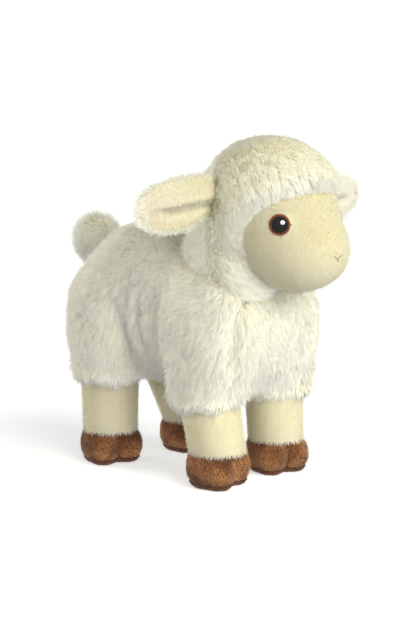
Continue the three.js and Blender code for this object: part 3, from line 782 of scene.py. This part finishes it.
# %% [markdown]
# ## Hood
# The hood is the same fleece in two pieces, sewn over the head from ear to ear. Its front piece leaves a
# round opening for the face, and its pile stands round the opening like a soft collar.

# %% Hood fleece
def hood_seam(z):
    """How far ahead of the legs' middle the seam from ear to ear lies at a height, in millimetres."""
    return -51 + 22 * step(z, 170, 204)


points, faces = form_skin(hood_form, 110, 160, -BACKING)
normals = outward(hood_form, points, -BACKING)
x, y, z = (points - [0, AHEAD_OF_CENTRE, 0]).T / MM
from_seam = y - hood_seam(z)
seam_dent = 2.0 * bump(from_seam, 0, 3.0) - 0.8 * bump(from_seam, -9, 6)
seam_dent += 2.4 * bump(y, -50, 5) * bump(z, BODY_TOP + 23, 11)  # a hollow where the ear comes out
rim = above_neck(points) / MM
brow = outside(opening_form, points) / MM - 2.2
flow = np.column_stack([x * 0.02 + 0.15, np.tanh((from_seam - 3) / 4) * 0.7, np.full(len(points), -0.8)])
comb = along_surface(normals, flow)
pile = (1 + 0.35 * (1 - step(rim, 0, 14))) * (0.5 + 0.5 * step(brow, -0.8, 2.0))
pile *= 1 - 0.4 * step(normals[:, 2], 0.3, 0.85)  # shorter on the crown, where the pile is pressed flat
points = points - normals * (seam_dent * MM)[:, None]
middle = points[faces].mean(1)
keep = (above_neck(middle) > 0.5 * MM) & (outside(opening_form, middle) > 1.4 * MM)
# Round the face the cloth turns in and meets the face's own cloth
depth = np.zeros(len(points))
for _ in range(40):
    depth += np.where(outside(face_form, points - normals * depth[:, None]) > -1.2 * MM, 0.4 * MM, 0)
points = points - normals * (np.minimum(depth, 12 * MM) * (1 - step(brow, -3.5, 8.5)))[:, None]
# The rim hangs down over the shoulders, lowest at the cheeks, where it ends in a flap on each side
loose = (1 - step(rim, 0, 18)) * step(np.abs(x), 8, 18) * step(-y, 36, 54)
hang = (3.0 + 3.5 * step(-y, 50, 64)) * loose + 1.5 * (1 - step(rim, 0, 10))
points = points - NECK_UP * (hang * MM)[:, None] + normals * (5.0 * loose * step(brow, 0, 8) * MM)[:, None]
ahead_of_seam = middle[:, 1] - AHEAD_OF_CENTRE < hood_seam(middle[:, 2] / MM) * MM
HOOD_FLEECE = (fleece_paint, "fleece", {**FLEECE_FUR, "ruffle": 0.9})
for name, part in {"hood_front": ahead_of_seam, "hood_back": ~ahead_of_seam}.items():
    clothe("fleece_" + name, name, HOOD_FLEECE, "head", points, faces[part & keep], comb, pile)

# %% [markdown]
# ## Tail
# The tail is a pompon: its pile stands well out all round, and droops a little under its own weight.

# %% Tail fleece
TAIL_BACKING = 5.0 * MM
points, faces = form_skin(tail_form, 48, 48, -TAIL_BACKING)
normals = outward(tail_form, points, -TAIL_BACKING)
comb = along_surface(normals, np.tile([0, 0.35, -1.0], (len(points), 1)))
TAIL_FUR = dict(FLEECE_FUR, strands_per_square_metre=1.1e7, length=0.0085, width=0.00030, lift_at_tip=0.20,
                disorder=0.34, lock_pull=0.0, ruffle=0.7, ruffle_scale=60.0)
clothe("fleece_tail", "tail_fleece", (fleece_paint, "fleece", TAIL_FUR), "tail", points, faces, comb)

# %% [markdown]
# ## Face
# The face is a short cream pile over the brow, the cheeks and the muzzle. It is tight over its stuffing.

# %% Where the eyes lie on the face
# The solids have both eyes at 46 degrees. The left one is 3 degrees further round here, only to keep it
# out of the main camera's view, as in the photograph. That is a choice for one view, not a known shape.
EYE_TURN = {-1: math.radians(46), 1: math.radians(49)}
EYE_HEIGHT = 156 * MM


def eye_frame(side):
    """The eye's middle on the face, and its directions across, up and out."""
    out = np.array([side * math.sin(EYE_TURN[side]), -math.cos(EYE_TURN[side]), 0])
    middle = face_form["middle"]
    aim = out * 34 * MM + [0, 0, EYE_HEIGHT - middle[2]]
    centre = surface_points(face_form, aim[None])[0]
    across = np.array([-side * math.cos(EYE_TURN[side]), -math.sin(EYE_TURN[side]), 0])  # towards the nose
    return centre, across, np.array([0, 0, 1.0]), out


# %% Face pile
PILE_FUR = dict(strands_per_square_metre=4.8e6, length=0.0027, width=0.00025, lift_at_root=0.5,
                lift_at_tip=0.24, disorder=0.24, lock_spacing=0.0022, lock_pull=0.08, lock_disorder=0.15,
                ruffle=0.12, patch_strength=0.5)
PILE_DEPTH = 1.0 * MM
points, faces = form_skin(face_form, 90, 130, -PILE_DEPTH)
normals = outward(face_form, points, -PILE_DEPTH)
flow = np.tile([0, 0.5, -0.8], (len(points), 1))
for side in (-1, 1):  # the pile is brushed away from each eye
    away = points - eye_frame(side)[0]
    distance = np.linalg.norm(away, axis=1, keepdims=True)
    flow = flow + away / distance * 1.5 * bump(distance / MM, 6, 3)
comb = along_surface(normals, flow)
middle = points[faces].mean(1)
keep = (outside(opening_form, middle) < 7 * MM) & (above_neck(middle) > 0)
SHORT_PILE = (pile_paint, "short_pile", PILE_FUR)
clothe("pile_face", "face", SHORT_PILE, "head", points, faces[keep], comb)

# %% Shins
def shin_radius(h, angles):
    """The shin narrows a little towards the hoof."""
    return (SHIN_RADIUS - 0.8 * np.clip((HEM - h) / 26, 0, 1)) * MM - PILE_DEPTH + 0 * angles


for leg in LEGS:
    shin_points, shin_faces = tube(lambda h: leg_axis(leg, h), np.linspace(HOOF_TOP - 1, 60, 40), shin_radius)
    centre = leg_axis(leg, shin_points[:, 2] / MM)
    sideways = np.column_stack([shin_points[:, :2] - centre, np.zeros(len(shin_points))])
    sideways /= np.linalg.norm(sideways, axis=1, keepdims=True)
    comb = along_surface(sideways, np.tile([0, 0.1, -1.0], (len(sideways), 1)))
    pile = 1 + 0.3 * (1 - step(shin_points[:, 2] / MM, HOOF_TOP - 1, HOOF_TOP + 2))
    clothe("pile_shin_" + leg, "shin_" + leg, SHORT_PILE, "body", shin_points, shin_faces,
           comb, pile)

# %% [markdown]
# ## Ears
# Each ear is two cloths sewn along the rim: white fleece behind, cream pile in front. It is folded
# lengthwise, so a crease runs out from the root, and the upper half hangs a little over the lower one.
# One closed shell is drawn first and then parted at the rim, so that the two cloths always meet.

# %% Ear shells
EAR_OUT, EAR_ROOT, EAR_LENGTH, EAR_HEIGHT = 43, 19, 48.5, 26.5  # the root reaches in under the hood's fleece


def mesh_normals(points, faces):
    """Smooth outward directions at the points of a mesh."""
    a, b, c = points[faces[:, 0]], points[faces[:, 1]], points[faces[:, 2]]
    slope = np.cross(b - a, c - a)
    sums = np.zeros_like(points)
    for k in range(3):
        np.add.at(sums, faces[:, k], slope)
    return sums / np.maximum(np.linalg.norm(sums, axis=1, keepdims=True), 1e-12)


def ear_shell(side, rings=72, sides=160):
    """An ear's closed surface, and which of its faces look forward."""
    middle, half = (EAR_LENGTH - EAR_ROOT) / 2, (EAR_LENGTH + EAR_ROOT) / 2
    share = -np.cos(np.pi * (np.arange(1, rings) / rings))
    around = 2 * np.pi * np.arange(sides) / sides
    s, a = [grid.ravel() for grid in np.meshgrid(share, around, indexing="ij")]
    height = EAR_HEIGHT / 2 * (1 - np.abs(s) ** 2.5) ** 0.4
    drawn_in = 0.68 + 0.32 * step(s, -0.6, 0.15)  # the lower half is narrower at the root
    height = height * np.where(np.sin(a) < 0, drawn_in, 1)
    up, forward = height * np.sin(a), np.cos(a)
    thick = np.where(forward > 0, 5.0, 3.6) * (1 - np.abs(s) ** 4) ** 0.5 * (1 - 0.3 * (s + 1) / 2)
    fade = 1 - step(s, 0.25, 0.9)
    over = up - 1.2 + 1.5 * step(s, -0.2, 0.8)  # how far above the crease
    upper_lobe = step(over, -0.2, 1.2) * bump(over, 1, 9)
    crease = np.exp(-np.where(over > 0, over / 1.6, over / 6.0) ** 2)
    y = -(thick * forward + (2.4 * upper_lobe - 4.6 * crease) * fade * np.clip(forward, 0, 1))
    points = np.column_stack([middle + half * s, y, up - 2.2 * fade * upper_lobe * np.clip(forward, 0, 1)])
    points = np.concatenate([points, [[middle - half, 0, 0], [middle + half, 0, 0]]])
    droop = math.radians(4)
    turned = np.column_stack([points[:, 0] * math.cos(droop) + points[:, 2] * math.sin(droop), points[:, 1],
                              points[:, 2] * math.cos(droop) - points[:, 0] * math.sin(droop)])
    placed = (turned * [side, 1, 1] + [side * EAR_OUT, ahead - 51, BODY_TOP + 23.2]) * MM
    faces = ring_faces(rings - 1, sides)
    if side < 0:
        faces = faces[:, ::-1]
    lobe_edge = bump(over, 1.0, 1.4) * fade * np.clip(forward, 0, 1)
    front = forward * (1 - step(s, 0.84, 0.97))
    return placed, faces, turned, np.append(lobe_edge, [0, 0]), np.append(front, [0, 0])


# %% Ear cloths
EAR_PILE = dict(strands_per_square_metre=6e6, length=0.0020, width=0.00026, lift_at_root=0.5,
                lift_at_tip=0.24, disorder=0.22, lock_spacing=0.002, lock_pull=0.1, lock_disorder=0.12,
                ruffle=0.3, patch_strength=1.0)
EAR_LINING = (shaded_lining_paint, "short_pile", EAR_PILE)
EAR_BACK = (fleece_paint, "short_pile",
            dict(EAR_PILE, length=0.0040, width=0.0003, lift_at_tip=0.3, disorder=0.35))
for side, word in ((-1, "right"), (1, "left")):
    points, faces, flat, lobe_edge, front = ear_shell(side)
    normals = mesh_normals(points, faces)
    if np.sum(normals * (points - points.mean(0))) < 0:
        faces, normals = faces[:, ::-1], -normals
    flow = np.column_stack([np.full(len(points), side * 1.0), np.zeros(len(points)), -0.25 - 1.5 * lobe_edge])
    comb = along_surface(normals, flow)
    forward = front[faces].mean(1) > 0.5  # the white cloth wraps a little way round the rim
    out = flat[:, 0] / EAR_LENGTH
    at_edge = step(np.abs(flat[:, 2]), EAR_HEIGHT / 2 - 3, EAR_HEIGHT / 2)
    rim_fuzz = 1 + 0.8 * step(out, 0.6, 1) + 0.5 * at_edge
    rim_fuzz += 1.6 * lobe_edge
    for name, part, cloth in (("lining", forward, EAR_LINING), ("back", ~forward, EAR_BACK)):
        clothe(f"ear_{name}_cloth_{word}", f"ear_{name}_{word}", cloth, "ear_" + word, points,
               faces[part], comb, rim_fuzz)

# %% [markdown]
# ## Hooves
# A hoof is brown velvet over a heel and two toes, drawn in by a seam between the toes. A dark stitch line
# joins it to its sole. Velvet shows light and dark patches where its pile is brushed one way or another and
# catches the light differently. So the strands are short, and whole patches of them lean together; the same
# patches are also tinted lighter and darker, which is painted sheen and painted shade.

# %% Hoof shape about its own axis
TOE_TURN = {"front_right": 12, "front_left": -12, "rear_right": -15, "rear_left": 0}
hoof_form = form([0, 0, 9], [1, 1, 1], 1.2, [lobe([0, 2.5, 9], [36, 31, 40], 2, 3)] + [
    lobe([side * 8.5, -6, 8], [19, 20, 28], 2, 3) for side in (-1, 1)])
FOOT = {leg: (leg_axis(leg, 0), math.radians(TOE_TURN[leg])) for leg in LEGS}


def hoof_radius(height, angles, grow=0.0):
    """How far out from the hoof's axis its cloth lies."""
    reach = reach_to_edge(hoof_form, [0, 0, height * MM], round_ring(angles, 1, 0), 2 * MM, 30 * MM, 24, grow)
    return reach - 2.2 * MM * bump(np.angle(np.exp(1j * (angles + np.pi / 2))), 0, 0.12)


def at_foot(points, leg):
    """Turns and moves points from the hoof's own axis to a leg's foot."""
    (x, y), turn = FOOT[leg]
    return np.column_stack([points[:, 0] * math.cos(turn) - points[:, 1] * math.sin(turn) + x,
                            points[:, 0] * math.sin(turn) + points[:, 1] * math.cos(turn) + y, points[:, 2]])


def hoof_rings(levels, sides=128):
    """Rings round the hoof's axis from (height, growth, share) levels, with a point that closes each end."""
    a = 2 * np.pi * (np.arange(sides) + 0.5) / sides
    rings = []
    for height, grow, share in levels:
        radius = hoof_radius(max(height, 0.5), a, grow * MM) * share
        rings.append(round_ring(a, radius, height))
    points = np.concatenate(rings + [[[0, 0, levels[0][0] * MM], [0, 0, levels[-1][0] * MM]]])
    return points, ring_faces(len(levels), sides)


# %% Hoof velvet and soles
# The strong patch tint here paints the brushed velvet's light and dark patches, painted sheen and painted
# shade on top of the patches' real lean.
VELVET_FUR = dict(strands_per_square_metre=5e6, length=0.0015, width=0.00026, lift_at_root=0.7,
                  lift_at_tip=0.35, disorder=0.3, lock_spacing=0.0016, lock_pull=0.25, lock_disorder=0.3,
                  patch_scale=85.0, patch_strength=2.8)
HOOF_LEVELS = [(3.2, -4.0, 0.6), (3.2, -2.9, 1)]
HOOF_LEVELS += [(h, -0.7 - 2.2 * (1 - step(h, 2, 10)) - 1.2 * step(h, 15, 23), 1)
                for h in np.linspace(3.8, 22, 24)]
HOOF_LEVELS += [(22.8, -2.6, 0.95), (23.2, -3, 0.8), (23.3, -3, 0.4)]
SOLE_LEVELS = [(0.2, -4.0, 0.4), (0.2, -4.0, 0.97), (0.7, -3.2, 1), (1.5, -2.6, 1), (2.4, -2.4, 1),
               (2.9, -2.9, 1), (2.9, -3.2, 0.4)]
SOLE_FUR = {**VELVET_FUR, "strands_per_square_metre": 3e6}
for leg in LEGS:
    for part, levels, lie, nap in (("hoof", HOOF_LEVELS, VELVET_FUR, -1.0),
                                   ("sole", SOLE_LEVELS, SOLE_FUR, 1.0)):
        points, faces = hoof_rings(levels)
        normals = mesh_normals(points, faces)
        comb = along_surface(normals, np.tile([0, -0.2, nap], (len(points), 1)))
        sole_pile = np.where(normals[:, 2] < -0.7, 0.25, 0.5)
        pile = np.clip((points[:, 2] / MM - 3) / 2.5, 0.35, 1) if part == "hoof" else sole_pile
        clothe(f"velvet_{part}_{leg}", f"{part}_{leg}", (velvet_paint, "velvet", lie), "body",
               at_foot(points, leg), faces, comb, pile)

# %% [markdown]
# ## Thread
# Stitches are thin tubes along drawn lines. Geometry Nodes turn each line into a tube: the line becomes a
# curve, and a small circle is swept along it.

# %% The thread tree and thread paints
def thread_tree():
    tree, given, result = new_tree("sweep_thread", [
        ("Radius", "Float"), ("Sides", "Int"), ("Material", "Material")])
    line = add_node(tree, "GeometryNodeMeshToCurve", {"Mesh": given["Geometry"]})
    ring = add_node(tree, "GeometryNodeCurvePrimitiveCircle",
                    {"Resolution": given["Sides"], "Radius": given["Radius"]})
    tubes = add_node(tree, "GeometryNodeCurveToMesh",
                     {"Curve": line, "Profile Curve": ring, "Fill Caps": True})
    whole = add_node(tree, "GeometryNodeRealizeInstances", {"Geometry": tubes})
    painted = add_node(tree, "GeometryNodeSetMaterial", {"Geometry": whole, "Material": given["Material"]})
    tree.links.new(painted, result["Geometry"])
    return tree


thread_sweep = thread_tree()


def paint_fibres(tree, shader, fibres, dark, light, strength, depth):
    """Lets a fibre pattern run from a dark to a light colour and stand out a little."""
    tree.links.new(mixed(tree, fibres, (*dark, 1), (*light, 1)), shader.inputs["Base Color"])
    raised = add_node(tree, "ShaderNodeBump", {"Strength": strength, "Distance": depth, "Height": fibres})
    tree.links.new(raised, shader.inputs["Normal"])


def thread_paint(name, dark, light, rough=0.55, sheen=0.15):
    """Thread with fine lighter and darker fibres along it."""
    paint, tree, shader = new_paint(name, Roughness=rough, Sheen_Weight=sheen, Specular_IOR_Level=0.25)
    place = add_node(tree, "ShaderNodeTexCoord", out="Object")
    fibres = add_node(tree, "ShaderNodeTexNoise", {"Vector": place, "Scale": 2600.0, "Detail": 2.0}, "Fac")
    paint_fibres(tree, shader, fibres, dark, light, 0.4, 0.0001)
    return paint


black_thread = thread_paint("black_thread", (0.006, 0.005, 0.005), (0.022, 0.018, 0.016), 0.6, 0.0)
red_thread = thread_paint("red_brown_thread", (0.13, 0.028, 0.014), (0.26, 0.062, 0.030))
white_thread = thread_paint("white_thread", (0.80, 0.80, 0.82), (0.95, 0.95, 0.96))
brown_thread = thread_paint("brown_thread", (0.035, 0.014, 0.007), (0.075, 0.032, 0.016))
grey_thread = thread_paint("grey_thread", (0.16, 0.12, 0.09), (0.30, 0.25, 0.20))


def stitch(name, node, body, lines, radius, paint, sides=6, base=None):
    """Tubes of thread along lines of points, finished as a piece, over a base if one is given."""
    points = np.concatenate(lines)
    edges, start = [], 0
    for line in lines:
        edges += [(start + k, start + k + 1) for k in range(len(line) - 1)]
        start += len(line)
    mesh = bpy.data.meshes.new(name)
    mesh.from_pydata(points.tolist(), edges, [])
    drawn = put_in_scene(name + "_lines", mesh)
    tubes = run_tree(drawn, thread_sweep, {"Radius": radius, "Sides": sides, "Material": paint})
    if base is not None:
        both = bmesh.new()
        both.from_mesh(tubes)
        under = bpy.data.meshes.new("under")
        under.from_pydata(base[0].tolist(), [], base[1].tolist())
        both.from_mesh(under)
        both.to_mesh(tubes)
        both.free()
        bpy.data.meshes.remove(under)
    tubes.name = name
    tubes.shade_smooth()
    finish_piece(put_in_scene(name, tubes), body, [node])
    print(name, len(lines), "stitches")


# %% Stitch lines round the soles, and the threads between the toes
def along_hoof(angles, heights, grow, leg):
    """A line of points on the hoof's cloth, from angles and heights about the hoof's axis."""
    radius = np.array([hoof_radius(h, np.array([a]), grow)[0] for a, h in zip(angles, heights)])
    x, y = radius * np.cos(angles), radius * np.sin(angles)
    return at_foot(np.column_stack([x, y, np.array(heights) * MM]), leg)


SOLE_STITCHES, STITCH_TURN = 30, 0.14
stitch_heights = 3.1 + np.array([-0.25, 0.15, 0.2, 0.15, -0.25])  # a stitch runs in a low arch
cleft_heights = np.linspace(4, 17, 14)
for leg in LEGS:
    dashes = [along_hoof(np.linspace(start, start + STITCH_TURN, 5), stitch_heights, -1.9 * MM, leg)
              for start in np.arange(0, 2 * np.pi, 2 * np.pi / SOLE_STITCHES)]
    stitch("stitches_sole_" + leg, "sole_stitch_" + leg, "body", dashes, 0.42 * MM, brown_thread)
    line = along_hoof(np.full(len(cleft_heights), -np.pi / 2), cleft_heights, -0.2 * MM, leg)
    stitch("thread_cleft_" + leg, "cleft_thread_" + leg, "body", [line], 0.3 * MM, brown_thread)

# %% [markdown]
# ## Eyes and nose mark
# The eyes are embroidered: a ring of short red-brown stitches laid outwards, a pupil of black rows, and a
# small white glint. The rows cross the pupil side by side with staggered breaks, as a machine sews them.

# %% Where the embroidery lies on the face
def on_face(start, out, lift):
    """Moves points along one direction until they lie a lift above the face's form."""
    reach = reach_to_edge(face_form, start, np.tile(out, (len(start), 1)), -15 * MM, 15 * MM, 22)
    return start + out * (reach + lift)[:, None]


def disc(centre, across, up, out, radius, lift, hollow=0.0, rings=10, sides=48):
    """A thin domed disc or ring that follows the face."""
    r = np.linspace(hollow, radius, rings)
    a = 2 * np.pi * np.arange(sides) / sides
    ring = np.outer(np.cos(a), across) + np.outer(np.sin(a), up)
    flat = np.concatenate([centre + q * ring for q in r])
    points = on_face(flat, out, lift)
    j = np.arange(sides)
    k = (j + 1) % sides
    faces = []
    for low in range(0, (rings - 1) * sides, sides):
        high = low + sides
        faces += [np.stack([low + j, high + j, high + k], 1), np.stack([low + j, high + k, low + k], 1)]
    faces = np.concatenate(faces)
    a, b, c = points[faces[0]]
    if np.dot(np.cross(b - a, c - a), out) < 0:  # the faces have to look outwards
        faces = faces[:, ::-1]
    return points, faces


def rows(width, height, pitch, rng, breaks=1):
    """Side-by-side rows that fill an ellipse, each in a few stitches with staggered breaks."""
    lines = []
    for level in np.arange(-height / 2 + pitch / 2, height / 2, pitch):
        reach = width / 2 * math.sqrt(max(0, 1 - (level / (height / 2)) ** 2))
        cuts = np.sort(np.concatenate([[-reach, reach], rng.uniform(-0.6, 0.6, breaks) * reach]))
        for a, b in zip(cuts[:-1], cuts[1:]):
            if b - a > pitch:
                lines.append((np.linspace(a, b, 5), np.full(5, level)))
    return lines


# %% Embroidered eyes
EYE_RING, EYE_PUPIL, EYE_GLINT = 11.8 * MM, 9.2 * MM, 2.3 * MM
RING_STITCHES = 84
for side, word in ((-1, "right"), (1, "left")):
    rng = np.random.default_rng(5)
    centre, across, up, out = eye_frame(side)

    def laid(u, v, lift, hump=0.0):
        flat = centre + np.outer(u, across) + np.outer(v, up)
        return on_face(flat, out, lift + hump * np.array([0, 0.8, 1, 0.8, 0]))

    ring = []
    for a in np.linspace(0, 2 * np.pi, RING_STITCHES, endpoint=False):
        r = np.linspace(EYE_PUPIL / 2 - 0.2 * MM, EYE_RING / 2 + rng.uniform(-0.15, 0.1) * MM, 5)
        ring.append(laid(r * math.cos(a), r * math.sin(a), 0.45 * MM, 0.35 * MM))
    # One stitch more, where the thread was cut off
    tail_end = np.linspace(EYE_RING / 2 - 0.5 * MM, EYE_RING / 2 + 1.0 * MM, 5)
    ring.append(laid(tail_end, np.linspace(0, 0.2, 5) * MM, 0.5 * MM, 0.3 * MM))
    ring_base = disc(centre, across, up, out, EYE_RING / 2 - 0.15 * MM, 0.35 * MM,
                     EYE_PUPIL / 2 - 0.4 * MM, 4)
    pupil = [laid(u, v, 0.75 * MM + 0.3 * MM, 0.08 * MM)
             for u, v in rows(EYE_PUPIL, EYE_PUPIL, 0.34 * MM, rng, 2)]
    pupil_base = disc(centre, across, up, out, EYE_PUPIL / 2 - 0.05 * MM, 0.9 * MM)
    glint = [laid(v + 1.6 * MM, u + 1.3 * MM, 1.35 * MM, 0.15 * MM)
             for u, v in rows(EYE_GLINT, EYE_GLINT * 1.05, 0.3 * MM, rng, 0)]
    for part, lines, radius, paint, slot, base in (
            ("ring", ring, 0.21, red_thread, "red_thread", ring_base),
            ("pupil", pupil, 0.22, black_thread, "black_thread", pupil_base),
            ("glint", glint, 0.19, white_thread, "white_thread", None)):
        stitch(f"stitches_eye_{part}_{word}", f"eye_{part}_{word}", "head", lines, radius * MM, paint,
               5, base)

# %% Nose mark
nose_up = (BODY_TOP - 9) * MM
NOSE_LIFT = 0.9 * MM  # high enough that the face's pile doesn't cover the mark


def nose_line(corners):
    """A thread laid over the front of the muzzle through corners given as across and up in millimetres."""
    flat = np.array([[x * MM, face_form["middle"][1] - 30 * MM, nose_up + z * MM] for x, z in corners])
    return on_face(flat, np.array([0, -1.0, 0]), NOSE_LIFT)


marks = [nose_line(corners) for corners in (
    [(0, 0.2), (0.05, -0.8), (0, -1.8)], [(-0.3, 0.2), (-1.9, 1.0), (-3.6, 1.7)],
    [(0.3, 0.2), (1.9, 1.0), (3.6, 1.7)])]
stitch("stitches_nose", "nose_stitch", "head", marks, 0.27 * MM, grey_thread)

# %% [markdown]
# ## Stuffing
# Inside the cloth is loose white polyester wadding, pressed into lumps. It is never seen while the seams
# hold, so one lumpy skin for each filling is enough, with its fibres in the material.

# %% Wadding
def wadding_paint():
    paint, tree, shader = new_paint("white_wadding", Roughness=0.95, Sheen_Weight=0.3)
    place = add_node(tree, "ShaderNodeTexCoord", out="Object")
    drift = add_node(tree, "ShaderNodeTexNoise", {"Vector": place, "Scale": 90.0, "Detail": 2.0}, "Color")
    bent = total(tree, times(tree, place, 900.0), times(tree, drift, 60.0))
    wool = {"Vector": bent, "Scale": 1.0, "Detail": 4.0, "Distortion": 2.0}
    fibres = add_node(tree, "ShaderNodeTexNoise", wool, "Fac")
    paint_fibres(tree, shader, fibres, (0.80, 0.79, 0.76), (0.95, 0.95, 0.93), 0.8, 0.0006)
    return paint


wadding = wadding_paint()


def wadding_piece(name, node, body, points, faces, depth=1.0):
    """A lumpy closed skin of wadding, finished as a piece."""
    points = points + mesh_normals(points, faces) * lumps(points)[:, None] * depth
    mesh = bpy.data.meshes.new(name)
    mesh.from_pydata(points.tolist(), [], faces.tolist())
    mesh.shade_smooth()
    mesh.materials.append(wadding)
    finish_piece(put_in_scene(name, mesh), body, [node])


def lumps(points):
    """Soft lumps of a few millimetres, from waves that cross each other."""
    x, y, z = (points / MM / 7).T
    waves = np.sin(x + 1.3 * np.sin(y)) + np.sin(1.2 * y + 1.1 * np.sin(z))
    return (waves + np.sin(1.1 * z + 1.4 * np.sin(x))) / 3 * MM


STUFFING_SIDES = 40
for name, shape, depth, rings, sides in (("body", body_form, 14, 48, 64), ("head", face_form, 7.5, 40, 56),
                                         ("tail", tail_form, 7.5, 20, 28)):
    points, faces = form_skin(shape, rings, sides, -depth * MM)
    wadding_piece("wadding_" + name, name + "_stuffing", name, points, faces)
low, high = 5, 60
rounded = [(low, 3), (low + 0.6, 5.5), (low + 2, 8)]
rounded += [(h, 8.5 + 5.5 * step(h, 19, 25)) for h in np.linspace(low + 5, high - 5, 22)]
rounded += [(high - 2, 12.5), (high - 0.6, 9), (high, 4)]
a = 2 * np.pi * np.arange(STUFFING_SIDES) / STUFFING_SIDES
for leg in LEGS:
    middles = [leg_axis(leg, h) for h, _ in rounded]
    rings = [round_ring(a, r * MM, h, c) for c, (h, r) in zip(middles, rounded)]
    points = np.concatenate([*rings, [[*middles[0], low * MM], [*middles[-1], high * MM]]])
    faces = ring_faces(len(rings), STUFFING_SIDES)
    wadding_piece("wadding_" + leg, "stuffing_" + leg, "body", points, faces, 0.8)

# %% The end: the strip is removed
bpy.data.objects.remove(strip)
